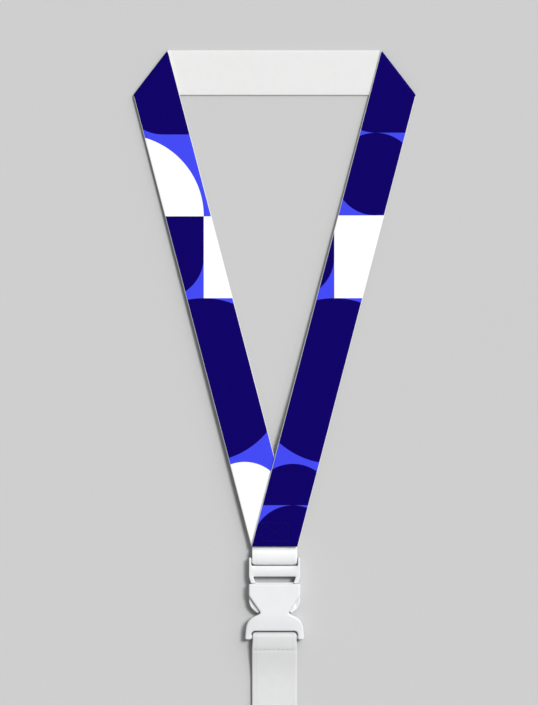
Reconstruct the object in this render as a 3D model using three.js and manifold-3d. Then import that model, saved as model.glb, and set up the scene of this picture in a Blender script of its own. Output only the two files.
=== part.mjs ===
// A neck lanyard laid flat on its back: a printed polyester neck strap folded at two corners, a plastic
// side-release buckle, a short white strap and a swivel trigger hook. Millimetres, +Z up.
// X runs across, +Y towards the nape, and the whole object rests on z = 0.
// Heights y are first measured from the end of the neck strap, where it is sewn, and the last
// lines move the object so that the centre of its outline's foot is the origin.
import * as THREE from 'three';
import { mergeVertices } from 'three/addons/utils/BufferGeometryUtils.js';
import Module from 'manifold-3d';

const wasm = await Module();
wasm.setup();

// ---- driving dimensions ------------------------------------------------------------------------
// clearances
const GAP = 0.3; // between pieces that touch or turn in one another
const SIDE_GAP = 0.4; // between an edge of webbing and the slot beside it

// webbing
const WEBBING_WIDTH = 25;
const WEBBING_THICKNESS = 1.2;

// neck strap
const NAPE_SPAN = 137.6; // between the points where the legs' centre lines cross the nape band's
const LEG_DROP = 262.8; // from the nape band's centre line to the sewn end
const SEWN_END_HEIGHT = 1.5; // underside of the lowest ply at the sewn end
const CLIMB_LENGTH = 35; // length over which the right leg climbs on to the left one
const CLIMB_MARGIN = 4; // it has climbed this far above the point of the V

// tab that holds the buckle, and its sewing
const TAB_TAIL = 18; // how far both ends of the tab reach up under the legs
const BAR_DROP = 7.6; // from the sewn end down to the buckle's strap bar
const THREAD_RADIUS = 0.25;
const THREAD_HOLE_RADIUS = 0.6;
const BOX_SEAM_WIDTH = 15;
const BOX_SEAM_HEIGHT = 10;
const BOX_SEAM_START = 3; // lowest row above the sewn end

// buckle, shared
const BUCKLE_THICKNESS = 8;
const BAR_RADIUS = 1.25;

// buckle, male half
const RAIL_WIDTH = 1.3;
const MALE_THICKNESS = 6.4;
const SLOT_CLEARANCE = 0.4; // beside the webbing, in the slot that it passes through
const SECOND_BAR_LENGTH = 5.95;
const SPARE_SLOT_LENGTH = 3.1;
const SPARE_SLOT_TAPER = 1.5; // how much narrower each side of the spare slot is at its lower edge
const WEB_LENGTH = 0.6;
const SHOULDER_TAPER = 1.1; // how much each rail comes in at the mouth
const CROSS_LENGTH = 3;
const TONGUE_WIDTH = 4.4;
const TONGUE_LENGTH = 13;

// buckle, spring prongs
const PRONG_ROOT_RADIUS = 1.3;
const PRONG_INSET = 4.1; // from the side of the cross piece in to the middle of the prong's root
const LOBE_LENGTH = 9.4;
const LOBE_TIP_WIDTH = 1.3;

// buckle, female half
const MOUTH_WALL = 1.1;
const PLATE_THICKNESS = 1.8;
const MOUTH_LENGTH = 6.5;
const WAIST_HALF_WIDTH = 8;
const WAIST_LENGTH = 9.2; // from the mouth ring down to the narrowest point
const CAVITY_PAST_WAIST = 1.6;
const SHOULDER_LENGTH = 10.4; // from the waist down to the strap window
const LEG_WIDTH = 3.4; // of the two side legs that carry the lower strap bar
const WINDOW_CORNER = 1.2;
const BASE_THICKNESS = 5.6; // at the legs' ends
const WINDOW_CLEARANCE = 0.65;

// short strap between buckle and hook
const LOWER_REACH = 57.8; // between its two bars
const LOWER_UNDERSIDE = 0.9;
const FOLD_BACK = 9; // how far each end is turned back past its bar
const SEAM_SETBACK = 2; // from a turned-back end to its row of sewing
const SEAM_WIDTH = 21;
const SEAM_STITCHES = 5;

// hook
const EYE_BAR_RADIUS = 1.5;
const EYE_FRAME_WIDTH = 3;
const BOSS_RADIUS = 4;
const BOSS_LENGTH = 6;
const RIVET_SHAFT_RADIUS = 2;
const RIVET_HEAD_RADIUS = 3.2;
const RIVET_HEAD_LENGTH = 1.6;
const RIVET_HEAD_CLEARANCE = 0.9; // between the webbing round the eye's bar and the rivet
const RIVET_DEPTH = 4; // of its end inside the hook's barrel
const BARREL_RADIUS = 4;
const BARREL_LENGTH = 9;
const CLAW_OUTER_RADIUS = 10.5;
const CLAW_ROD_WIDTH = 4.5;
const CLAW_STRAIGHT = 6;
const CLAW_THICKNESS = 6;
const CLAW_TOP_OVERLAP = 2.5; // how far the claw's ring runs up into the barrel
const GATE_PIVOT_ANGLE = THREE.MathUtils.degToRad(40); // round the claw's upper bend, from level
const GATE_PIN_RADIUS = 0.8;
const GATE_HUB_RADIUS = 2.3;
const GATE_HUB_THICKNESS = 1.6;
const GATE_ARM_WIDTH = 2.6;
const GATE_EAR_THICKNESS = 1.2;
const NOSE_LENGTH = 1.5; // above the claw's lower bend
const NOSE_OVERLAP = 2.6; // how far the gate's end reaches down inside the nose
const TAB_LEAN = 0.15;
const TAB_LENGTH = 7.5;
const TAB_WIDTH = 2.4;
const SPRING_WIRE_RADIUS = 0.2;
const SPRING_RADIUS = 1.75;
const SPRING_TURNS = 2.25;
const SPRING_PITCH = 0.42;

// ---- values that follow from them -----------------------------------------------------------------
const HALF_WEBBING = WEBBING_WIDTH / 2;
const PLY_PITCH = WEBBING_THICKNESS + GAP; // from one ply's underside to the next one's
const SLOT_HALF_WIDTH = HALF_WEBBING + SIDE_GAP;
const LEG_ANGLE = Math.atan2(NAPE_SPAN / 2, LEG_DROP); // of each leg from straight down
const WEBBING_WRAP = GAP + WEBBING_THICKNESS; // what webbing adds to the radius of a bar it goes round

const BAR_HEIGHT = BUCKLE_THICKNESS / 2;
const MALE_HALF_WIDTH = SLOT_HALF_WIDTH + RAIL_WIDTH;
const SECOND_BAR_TOP = BAR_RADIUS + WEBBING_WRAP + SLOT_CLEARANCE;
const SPARE_SLOT_TOP = SECOND_BAR_TOP + SECOND_BAR_LENGTH;
const SPARE_SLOT_BOTTOM = SPARE_SLOT_TOP + SPARE_SLOT_LENGTH;
const SHOULDER = SPARE_SLOT_BOTTOM + WEB_LENGTH;
const MOUTH_EDGE = SHOULDER + GAP;
const CROSS_BOTTOM = SHOULDER + CROSS_LENGTH;
const FEMALE_HALF_WIDTH = MALE_HALF_WIDTH + 0.1;
const MOUTH_HALF_WIDTH = FEMALE_HALF_WIDTH - MOUTH_WALL;
const CROSS_HALF_WIDTH = MOUTH_HALF_WIDTH - GAP;
const MOUTH_HEIGHT = BUCKLE_THICKNESS - 2 * PLATE_THICKNESS;
const PRONG_THICKNESS = MOUTH_HEIGHT - 2 * GAP;
const PRONG_PIVOT_X = CROSS_HALF_WIDTH - PRONG_INSET;
const PRONG_PIVOT_DROP = CROSS_BOTTOM + GAP + PRONG_ROOT_RADIUS;
const RING_BOTTOM = MOUTH_EDGE + MOUTH_LENGTH;
const LOBE_TOP = RING_BOTTOM + GAP;
const WAIST = RING_BOTTOM + WAIST_LENGTH;
const WINDOW_TOP = WAIST + SHOULDER_LENGTH;
const LOWER_BAR = WINDOW_TOP + WINDOW_CLEARANCE + WEBBING_WRAP + BAR_RADIUS;
const FEMALE_END = LOWER_BAR + BAR_RADIUS + 0.15;

const EYE_WRAP = EYE_BAR_RADIUS + WEBBING_WRAP;
const RIVET_TOP = EYE_WRAP + RIVET_HEAD_CLEARANCE;
const BOSS_TOP = RIVET_TOP + RIVET_HEAD_LENGTH + GAP;
const BARREL_TOP = BOSS_TOP + BOSS_LENGTH + GAP;
const CLAW_INNER_RADIUS = CLAW_OUTER_RADIUS - CLAW_ROD_WIDTH;
const CLAW_TOP_CENTRE = BARREL_LENGTH - CLAW_TOP_OVERLAP + CLAW_OUTER_RADIUS;
const CLAW_BOTTOM_CENTRE = CLAW_TOP_CENTRE + CLAW_STRAIGHT;
const CLAW_MIDDLE_RADIUS = (CLAW_OUTER_RADIUS + CLAW_INNER_RADIUS) / 2;
const GATE_PIVOT_X = -CLAW_MIDDLE_RADIUS * Math.cos(GATE_PIVOT_ANGLE);
const GATE_PIVOT_DROP = CLAW_TOP_CENTRE - CLAW_MIDDLE_RADIUS * Math.sin(GATE_PIVOT_ANGLE);
const NOSE_TOP = CLAW_BOTTOM_CENTRE - NOSE_LENGTH;

// ---- making solids ---------------------------------------------------------------------------------

function solid(geometry) {
  const bare = geometry.clone();
  bare.deleteAttribute('normal');
  bare.deleteAttribute('uv');
  const merged = mergeVertices(bare, 1e-5);
  const vertProperties = new Float32Array(merged.attributes.position.array);
  const triVerts = new Uint32Array(merged.index.array);
  return new wasm.Manifold(new wasm.Mesh({ numProp: 3, vertProperties, triVerts }));
}

function surface(manifold) {
  const { numProp, vertProperties, triVerts } = manifold.getMesh();
  const positions = new Float32Array((vertProperties.length / numProp) * 3);
  for (let i = 0; i < positions.length / 3; i += 1) {
    for (let k = 0; k < 3; k += 1) positions[3 * i + k] = vertProperties[numProp * i + k];
  }
  const geometry = new THREE.BufferGeometry();
  geometry.setAttribute('position', new THREE.BufferAttribute(positions, 3));
  geometry.setIndex(new THREE.BufferAttribute(new Uint32Array(triVerts), 1));
  geometry.computeVertexNormals();
  return geometry;
}

function join(geometries) {
  return surface(geometries.map(solid).reduce((whole, piece) => whole.add(piece)));
}

function cut(geometry, tools) {
  return surface(tools.map(solid).reduce((left, tool) => left.subtract(tool), solid(geometry)));
}

function common(a, b) {
  return surface(solid(a).intersect(solid(b)));
}

// A flat outline in X and Y, made solid from z = low to z = high.
function slab(shape, low, high, curveSegments = 10) {
  const options = { depth: high - low, bevelEnabled: false, curveSegments };
  return new THREE.ExtrudeGeometry(shape, options).translate(0, 0, low);
}

// An outline in Y and Z (drawn as x and y), made solid over a width along X.
function across(shape, width) {
  const geometry = slab(shape, -width / 2, width / 2);
  const y = new THREE.Vector3(0, 1, 0);
  const z = new THREE.Vector3(0, 0, 1);
  const x = new THREE.Vector3(1, 0, 0);
  return geometry.applyMatrix4(new THREE.Matrix4().makeBasis(y, z, x));
}

function rodAlongX(radius, length, sides = 20) {
  return new THREE.CylinderGeometry(radius, radius, length, sides).rotateZ(Math.PI / 2);
}

function rodAlongZ(radius, low, high, sides = 20) {
  const rod = new THREE.CylinderGeometry(radius, radius, high - low, sides);
  return rod.rotateX(Math.PI / 2).translate(0, 0, (low + high) / 2);
}

function outline(points) {
  return new THREE.Shape(points.map(([x, y]) => new THREE.Vector2(x, y)));
}

// An outline given for its right half, from top to bottom, and mirrored across x = 0.
function mirroredOutline(points) {
  const left = points.filter(([x]) => x > 0).map(([x, y]) => [-x, y]).reverse();
  return outline([...points, ...left]);
}

function rise(from, to, value) {
  return THREE.MathUtils.smoothstep(value, from, to);
}

function material(color, roughness, metalness = 0) {
  return new THREE.MeshStandardMaterial({ color, roughness, metalness });
}

const PRINTED_FABRIC = material('#2a20a8', 0.85);
const WHITE_FABRIC = material('#f2f2f2', 0.9);
const NAVY_THREAD = material('#11006a', 0.8);
const WHITE_THREAD = material('#e6e6e6', 0.8);
const WHITE_PLASTIC = material('#ededed', 0.45);
const PLATED_METAL = material('#c9cbd0', 0.25, 1);
const SPRING_STEEL = material('#8f9298', 0.35, 1);

function part(name, geometry, look) {
  const mesh = new THREE.Mesh(geometry, look);
  mesh.name = name;
  return mesh;
}

function assembly(x, y, z, children) {
  const group = new THREE.Group();
  group.position.set(x, y, z);
  group.add(...children);
  return group;
}

// ---- neck strap --------------------------------------------------------------------------------------
// One length of webbing, printed on its outer face. Its middle is the nape band, lying with its white
// reverse up. At each end of the band the strap turns over about a slanted crease and runs down on
// top of the band as a leg. Both legs end in one level cut, the right one lying on the left one.

const CREASE_ANGLE = (Math.PI / 2 + LEG_ANGLE) / 2; // of the crease from level
const ROLL_RADIUS = PLY_PITCH / 2; // of the middle of the webbing where it turns over
const ROLL_LENGTH = Math.PI * ROLL_RADIUS;
// where the band's centre line meets the crease, so that the leg's centre line ends at x = 0
const CREASE_X =
  (LEG_DROP - ROLL_LENGTH * Math.cos(CREASE_ANGLE)) * Math.tan(LEG_ANGLE) -
  (ROLL_LENGTH * Math.cos(CREASE_ANGLE)) / Math.tan(CREASE_ANGLE);
const V_HEIGHT = HALF_WEBBING / Math.sin(LEG_ANGLE); // point of the V between the legs
const CLIMB_END = V_HEIGHT + CLIMB_MARGIN;
const LEG_TOP =
  LEG_DROP -
  HALF_WEBBING * (Math.cos(LEG_ANGLE) / Math.tan(CREASE_ANGLE) + Math.sin(LEG_ANGLE)) -
  ROLL_LENGTH * (Math.cos(LEG_ANGLE) / Math.sin(CREASE_ANGLE) - Math.cos(CREASE_ANGLE)) -
  GAP;

// Underside of the left leg at height y: it runs straight from the corner down to the sewn stack.
function leftLegHeight(y) {
  const share = THREE.MathUtils.clamp(1 - y / LEG_TOP, 0, 1);
  return THREE.MathUtils.lerp(PLY_PITCH, SEWN_END_HEIGHT + 2 * PLY_PITCH, share);
}

function rightLegHeight(y) {
  const climbed = 1 - rise(CLIMB_END, CLIMB_END + CLIMB_LENGTH, y);
  return leftLegHeight(y) + PLY_PITCH * climbed;
}

// Lines across the flat strap from the nape's middle to the cut end. Each is a distance past the
// crease on the centre line, and how much that distance grows per millimetre across the webbing.
function strapLines() {
  const lines = [{ distance: -CREASE_X, slant: 0 }];
  const rollSteps = 8;
  for (let i = 0; i <= rollSteps; i += 1) {
    const distance = ((ROLL_LENGTH * i) / rollSteps) / Math.sin(CREASE_ANGLE);
    lines.push({ distance, slant: -1 / Math.tan(CREASE_ANGLE) });
  }
  const levels = [LEG_TOP];
  const climbSteps = 8;
  for (let i = 0; i <= climbSteps; i += 1) {
    levels.push(CLIMB_END + CLIMB_LENGTH * (1 - i / climbSteps));
  }
  levels.push(0);
  for (const y of levels) {
    const drop = LEG_DROP - y + ROLL_LENGTH * Math.cos(CREASE_ANGLE);
    lines.push({ distance: drop / Math.cos(LEG_ANGLE), slant: Math.tan(LEG_ANGLE) });
  }
  return lines;
}

// Where a point of the flat strap lies once folded: across the strap (up at the nape), past the
// crease, and off the middle of its thickness (up at the nape). side is -1 on the left, 1 on the right.
function folded(side, offCentre, pastCrease, offMiddle) {
  const sin = Math.sin(CREASE_ANGLE);
  const cos = Math.cos(CREASE_ANGLE);
  const along = pastCrease * cos - offCentre * sin;
  const beyond = pastCrease * sin + offCentre * cos;
  const radius = ROLL_RADIUS - offMiddle;
  const middle = WEBBING_THICKNESS / 2 + ROLL_RADIUS;
  let outward = beyond;
  let z = middle - radius;
  if (beyond > ROLL_LENGTH - 1e-6) {
    outward = ROLL_LENGTH - beyond;
    z = middle + radius;
  } else if (beyond > 0) {
    const turned = beyond / ROLL_RADIUS;
    outward = radius * Math.sin(turned);
    z = middle - radius * Math.cos(turned);
  }
  const x = CREASE_X + along * cos + outward * sin;
  const y = LEG_DROP - along * sin + outward * cos;
  if (beyond > ROLL_LENGTH - 1e-6) {
    z += (side < 0 ? leftLegHeight(y) : rightLegHeight(y)) - PLY_PITCH;
  }
  return new THREE.Vector3(side * x, y, z);
}

function neckStrap() {
  const right = strapLines();
  const left = right.slice(1).reverse();
  const lines = [...left.map((line) => ({ ...line, side: -1 })), ...right.map((line) => ({ ...line, side: 1 }))];
  const steps = lines.length - 1;
  const flat = new THREE.BoxGeometry(WEBBING_WIDTH, 1, WEBBING_THICKNESS, 1, steps, 1);
  const position = flat.attributes.position;
  for (let i = 0; i < position.count; i += 1) {
    const line = lines[Math.round((position.getY(i) + 0.5) * steps)];
    const offCentre = -position.getX(i);
    const pastCrease = line.distance + line.slant * offCentre;
    const point = folded(line.side, offCentre, pastCrease, position.getZ(i));
    position.setXYZ(i, point.x, point.y, point.z);
  }
  return cut(flat, seamHoles(boxSeam(), rightLegHeight(0) + WEBBING_THICKNESS + GAP));
}

// ---- webbing that goes round a bar -------------------------------------------------------------------

// The outline of webbing seen edge on, from the middle line of its thickness.
function edgeOn(path) {
  const points = path.getPoints(10).filter((p, i, all) => i === 0 || p.distanceTo(all[i - 1]) > 1e-4);
  const sideOf = (sign) =>
    points.map((p, i) => {
      const before = points[Math.max(i - 1, 0)];
      const after = points[Math.min(i + 1, points.length - 1)];
      const run = after.clone().sub(before).normalize();
      return [p.x - sign * run.y * (WEBBING_THICKNESS / 2), p.y + sign * run.x * (WEBBING_THICKNESS / 2)];
    });
  return outline([...sideOf(1), ...sideOf(-1).reverse()]);
}

// ---- sewing ------------------------------------------------------------------------------------------

// A box of sewing on the sewn stack: the centres of its stitches, going round.
function boxSeam() {
  const columns = 4;
  const rows = 3;
  const points = [];
  for (let i = 0; i < columns; i += 1) {
    for (let j = 0; j < rows; j += 1) {
      const onEdge = i === 0 || i === columns - 1 || j === 0 || j === rows - 1;
      const x = BOX_SEAM_WIDTH * (i / (columns - 1) - 0.5);
      const y = BOX_SEAM_START + (BOX_SEAM_HEIGHT * j) / (rows - 1);
      if (onEdge) points.push([x, y]);
    }
  }
  return points;
}

function rowSeam(y) {
  const points = [];
  for (let i = 0; i < SEAM_STITCHES; i += 1) {
    points.push([SEAM_WIDTH * (i / (SEAM_STITCHES - 1) - 0.5), y]);
  }
  return points;
}

// Needle holes through everything from the surface up to the given height.
function seamHoles(points, top) {
  return points.map(([x, y]) => rodAlongZ(THREAD_HOLE_RADIUS, -GAP, top, 6).translate(x, y, 0));
}

// Thread from above the cloth to below it at every stitch, joined on both faces by the same outline.
function thread(points, face, low, high) {
  const posts = points.map(([x, y]) => rodAlongZ(THREAD_RADIUS, low, high, 6).translate(x, y, 0));
  const upper = slab(face, high - 2 * THREAD_RADIUS, high);
  const lower = slab(face, low, low + 2 * THREAD_RADIUS);
  return join([upper, lower, ...posts]);
}

function rectangle(width, height, x, y) {
  const [left, right, bottom, top] = [x - width / 2, x + width / 2, y - height / 2, y + height / 2];
  return outline([[left, bottom], [right, bottom], [right, top], [left, top]]);
}

function boxSeamThread() {
  const middle = BOX_SEAM_START + BOX_SEAM_HEIGHT / 2;
  const grow = 2 * THREAD_RADIUS;
  const face = rectangle(BOX_SEAM_WIDTH + grow, BOX_SEAM_HEIGHT + grow, 0, middle);
  face.holes.push(rectangle(BOX_SEAM_WIDTH - grow, BOX_SEAM_HEIGHT - grow, 0, middle));
  const seamTop = BOX_SEAM_START + BOX_SEAM_HEIGHT;
  const low = leftLegHeight(seamTop) - 2 * PLY_PITCH - GAP / 2 - grow;
  const high = rightLegHeight(BOX_SEAM_START) + WEBBING_THICKNESS + GAP / 2 + grow;
  return thread(boxSeam(), face, low, high);
}

function rowSeamThread(y) {
  const grow = 2 * THREAD_RADIUS;
  const face = rectangle(SEAM_WIDTH + grow, grow, 0, y);
  const low = LOWER_UNDERSIDE - GAP / 2 - grow;
  const high = LOWER_UNDERSIDE + PLY_PITCH + WEBBING_THICKNESS + GAP / 2 + grow;
  return thread(rowSeam(y), face, low, high);
}

// ---- buckle tab --------------------------------------------------------------------------------------
// A short white length of webbing round the buckle's strap bar, both its ends sewn under the legs.

function buckleTab() {
  const middle = WEBBING_THICKNESS / 2;
  const radius = BAR_RADIUS + GAP + middle;
  const frontHeight = (y) => leftLegHeight(y) - PLY_PITCH + middle;
  const backHeight = (y) => frontHeight(y) - PLY_PITCH;
  const path = new THREE.Path();
  path.moveTo(TAB_TAIL, backHeight(TAB_TAIL));
  path.lineTo(0, backHeight(0));
  path.lineTo(-BAR_DROP, BAR_HEIGHT - radius);
  path.absarc(-BAR_DROP, BAR_HEIGHT, radius, -Math.PI / 2, -1.5 * Math.PI, true);
  const top = BAR_HEIGHT + radius;
  path.bezierCurveTo(-0.55 * BAR_DROP, top, -0.45 * BAR_DROP, frontHeight(0), 0, frontHeight(0));
  path.lineTo(TAB_TAIL, frontHeight(TAB_TAIL));
  const webbing = across(edgeOn(path), WEBBING_WIDTH);
  return cut(webbing, seamHoles(boxSeam(), rightLegHeight(0)));
}

// ---- buckle ------------------------------------------------------------------------------------------
// Drops are measured down from the middle of the male half's strap bar, and z from the buckle's middle.

function maleFrame() {
  const half = MALE_THICKNESS / 2;
  const railTop = -BAR_RADIUS - 0.15;
  const plan = mirroredOutline([
    [SLOT_HALF_WIDTH, -railTop],
    [MALE_HALF_WIDTH - 0.5, -railTop],
    [MALE_HALF_WIDTH, -railTop - 0.5],
    [MALE_HALF_WIDTH, -SPARE_SLOT_TOP],
    [MALE_HALF_WIDTH - SHOULDER_TAPER, -SHOULDER],
  ]);
  const opening = rectangle(2 * SLOT_HALF_WIDTH, 2 * SECOND_BAR_TOP, 0, 0);
  const spareTop = SLOT_HALF_WIDTH - 1;
  const spareBottom = spareTop - SPARE_SLOT_TAPER;
  const spare = mirroredOutline([[spareTop, -SPARE_SLOT_TOP], [spareBottom, -SPARE_SLOT_BOTTOM]]);
  const frame = cut(slab(plan, -half, half), [
    slab(opening, -BUCKLE_THICKNESS, BUCKLE_THICKNESS),
    slab(spare, -BUCKLE_THICKNESS, BUCKLE_THICKNESS),
  ]);
  const bar = rodAlongX(BAR_RADIUS, 2 * MALE_HALF_WIDTH - 1);
  const crossHalf = PRONG_THICKNESS / 2;
  const cross = rectangle(2 * CROSS_HALF_WIDTH, CROSS_LENGTH + WEB_LENGTH / 2, 0,
    -CROSS_BOTTOM + (CROSS_LENGTH + WEB_LENGTH / 2) / 2);
  const tongueEnd = CROSS_BOTTOM + TONGUE_LENGTH;
  const tongue = mirroredOutline([
    [TONGUE_WIDTH / 2, -CROSS_BOTTOM + 1],
    [TONGUE_WIDTH / 2, -tongueEnd + 1],
    [TONGUE_WIDTH / 2 - 1, -tongueEnd],
  ]);
  return join([frame, bar, slab(cross, -crossHalf, crossHalf), slab(tongue, -crossHalf, crossHalf)]);
}

// A springy arm with a lobe that snaps out of the female half's side window. Drawn about its root.
function prong(side) {
  const reach = FEMALE_HALF_WIDTH - 0.1 - PRONG_PIVOT_X; // out to the lobe's side
  const top = LOBE_TOP - PRONG_PIVOT_DROP;
  const bottom = top + LOBE_LENGTH;
  const root = PRONG_ROOT_RADIUS;
  const shape = new THREE.Shape();
  shape.moveTo(root, 0);
  shape.lineTo(root + 1, -top);
  shape.lineTo(reach - 0.9, -top);
  shape.quadraticCurveTo(reach, -top, reach, -top - 1);
  shape.lineTo(reach, -top - 2.6);
  shape.bezierCurveTo(reach, -top - 5.9, reach - 2.6, -bottom + 1.2, LOBE_TIP_WIDTH / 2 + 0.3, -bottom);
  shape.quadraticCurveTo(-LOBE_TIP_WIDTH / 2, -bottom - 0.1, -LOBE_TIP_WIDTH / 2, -bottom + 1.2);
  shape.lineTo(0.4, -top - 3);
  shape.lineTo(-root, 0);
  shape.absarc(0, 0, root, Math.PI, 0, true);
  const arm = slab(shape, -PRONG_THICKNESS / 2, PRONG_THICKNESS / 2, 6);
  if (side > 0) return arm;
  return surface(solid(arm).mirror([1, 0, 0]));
}

function femaleBody() {
  const windowHalf = SLOT_HALF_WIDTH;
  const outer = windowHalf + LEG_WIDTH;
  const plan = new THREE.Shape();
  const side = (sign) => {
    const points = new THREE.Path();
    points.moveTo(sign * FEMALE_HALF_WIDTH, -MOUTH_EDGE);
    points.lineTo(sign * FEMALE_HALF_WIDTH, -RING_BOTTOM);
    points.lineTo(sign * WAIST_HALF_WIDTH, -WAIST);
    points.bezierCurveTo(sign * (WAIST_HALF_WIDTH + 1.2), -WAIST - 2.4, sign * (outer - 0.9), -WAIST - 2.6,
      sign * (outer - 0.6), -WAIST - 8);
    points.lineTo(sign * outer, -FEMALE_END);
    return points.getPoints(8);
  };
  plan.setFromPoints([...side(1), ...side(-1).reverse()]);
  const window = new THREE.Shape();
  const corner = WINDOW_CORNER;
  window.moveTo(-windowHalf, -FEMALE_END - 1);
  window.lineTo(windowHalf, -FEMALE_END - 1);
  window.lineTo(windowHalf, -WINDOW_TOP - corner);
  window.absarc(windowHalf - corner, -WINDOW_TOP - corner, corner, 0, Math.PI / 2, false);
  window.lineTo(-windowHalf + corner, -WINDOW_TOP);
  window.absarc(-windowHalf + corner, -WINDOW_TOP - corner, corner, Math.PI / 2, Math.PI, false);
  const deep = BUCKLE_THICKNESS;
  const cavityEnd = WAIST + CAVITY_PAST_WAIST;
  const mouth = rectangle(2 * MOUTH_HALF_WIDTH, MOUTH_LENGTH + 2, 0, -RING_BOTTOM + MOUTH_LENGTH / 2);
  const sides = rectangle(3 * FEMALE_HALF_WIDTH, cavityEnd - RING_BOTTOM, 0, -(cavityEnd + RING_BOTTOM) / 2);
  const body = cut(slab(plan, -deep, deep, 8), [
    slab(window, -2 * deep, 2 * deep, 5),
    slab(mouth, -MOUTH_HEIGHT / 2, MOUTH_HEIGHT / 2),
    slab(sides, -MOUTH_HEIGHT / 2, MOUTH_HEIGHT / 2),
  ]);
  // seen from the side the body is level down to the waist and thins towards the strap
  const full = BUCKLE_THICKNESS / 2;
  const thin = BASE_THICKNESS / 2;
  const profile = outline([
    [-MOUTH_EDGE + 1, -full],
    [-MOUTH_EDGE + 1, full],
    [-cavityEnd, full],
    [-FEMALE_END - 1, thin],
    [-FEMALE_END - 1, -thin],
    [-cavityEnd, -full],
  ]);
  const thinned = common(body, across(profile, 4 * FEMALE_HALF_WIDTH));
  const bar = rodAlongX(BAR_RADIUS, 2 * windowHalf + LEG_WIDTH).translate(0, -LOWER_BAR, 0);
  return join([thinned, bar]);
}

// ---- short strap -------------------------------------------------------------------------------------
// One length of white webbing, turned back round the buckle's lower bar and round the hook's eye, each
// end sewn down behind. Heights are above the surface, and y is measured from the buckle's lower bar.

const TOP_SEAM_Y = -(FOLD_BACK - SEAM_SETBACK);
const BOTTOM_SEAM_Y = -LOWER_REACH + FOLD_BACK - SEAM_SETBACK;

function lowerStrap() {
  const middle = WEBBING_THICKNESS / 2;
  const back = LOWER_UNDERSIDE + middle;
  const front = back + PLY_PITCH;
  const topRadius = BAR_RADIUS + GAP + middle;
  const eyeRadius = EYE_BAR_RADIUS + GAP + middle;
  const settled = FOLD_BACK - SEAM_SETBACK - 2; // distance from a bar where both plies lie together
  const path = new THREE.Path();
  path.moveTo(-FOLD_BACK, back);
  path.lineTo(-settled, back);
  path.bezierCurveTo(-0.6 * settled, back, -0.5 * settled, BAR_HEIGHT - topRadius, 0, BAR_HEIGHT - topRadius);
  path.absarc(0, BAR_HEIGHT, topRadius, -Math.PI / 2, Math.PI / 2, false);
  path.bezierCurveTo(-0.5 * settled, BAR_HEIGHT + topRadius, -0.5 * settled, front, -settled, front);
  path.lineTo(-LOWER_REACH + settled, front);
  const eye = -LOWER_REACH;
  path.bezierCurveTo(eye + 0.5 * settled, front, eye + 0.5 * settled, BAR_HEIGHT + eyeRadius,
    eye, BAR_HEIGHT + eyeRadius);
  path.absarc(eye, BAR_HEIGHT, eyeRadius, Math.PI / 2, 1.5 * Math.PI, false);
  path.bezierCurveTo(eye + 0.5 * settled, BAR_HEIGHT - eyeRadius, eye + 0.6 * settled, back, eye + settled, back);
  path.lineTo(eye + FOLD_BACK, back);
  const holes = [...rowSeam(TOP_SEAM_Y), ...rowSeam(BOTTOM_SEAM_Y)];
  const above = LOWER_UNDERSIDE + PLY_PITCH + WEBBING_THICKNESS + GAP;
  return cut(across(edgeOn(path), WEBBING_WIDTH), seamHoles(holes, above));
}

// ---- hook --------------------------------------------------------------------------------------------
// A plated swivel trigger hook. The eye's drops are from its bar, the hook's from the top of its barrel.

function hookEye() {
  const inner = SLOT_HALF_WIDTH;
  const outer = inner + EYE_FRAME_WIDTH;
  const half = EYE_FRAME_WIDTH / 2;
  const turn = EYE_BAR_RADIUS + 2.5;
  const plan = mirroredOutline([
    [inner, half],
    [outer - 1, half],
    [outer, half - 1],
    [outer, -turn],
    [BOSS_RADIUS + 1, -BOSS_TOP - BOSS_LENGTH + 1.5],
    [BOSS_RADIUS - 1, -BOSS_TOP - BOSS_LENGTH + 1.5],
  ]);
  const opening = mirroredOutline([
    [inner, EYE_FRAME_WIDTH],
    [inner, -turn],
    [BOSS_RADIUS, -BOSS_TOP],
  ]);
  const frame = cut(slab(plan, -half, half), [slab(opening, -EYE_FRAME_WIDTH, EYE_FRAME_WIDTH)]);
  const bar = rodAlongX(EYE_BAR_RADIUS, 2 * inner + EYE_FRAME_WIDTH);
  const boss = new THREE.CylinderGeometry(BOSS_RADIUS, BOSS_RADIUS, BOSS_LENGTH, 24);
  boss.translate(0, -BOSS_TOP - BOSS_LENGTH / 2, 0);
  const boreRadius = RIVET_SHAFT_RADIUS + GAP;
  const bore = new THREE.CylinderGeometry(boreRadius, boreRadius, BOSS_LENGTH + GAP, 20);
  bore.translate(0, -BOSS_TOP - BOSS_LENGTH / 2, 0);
  return cut(join([frame, bar, boss]), [bore]);
}

function swivelRivet() {
  const end = BARREL_TOP + RIVET_DEPTH;
  const profile = [
    [0, -end],
    [RIVET_SHAFT_RADIUS, -end],
    [RIVET_SHAFT_RADIUS, -RIVET_TOP - RIVET_HEAD_LENGTH],
    [RIVET_HEAD_RADIUS, -RIVET_TOP - RIVET_HEAD_LENGTH],
    [RIVET_HEAD_RADIUS, -RIVET_TOP - 0.6],
    [RIVET_HEAD_RADIUS - 0.8, -RIVET_TOP],
    [0, -RIVET_TOP],
  ];
  return new THREE.LatheGeometry(profile.map(([x, y]) => new THREE.Vector2(x, y)), 20);
}

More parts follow.
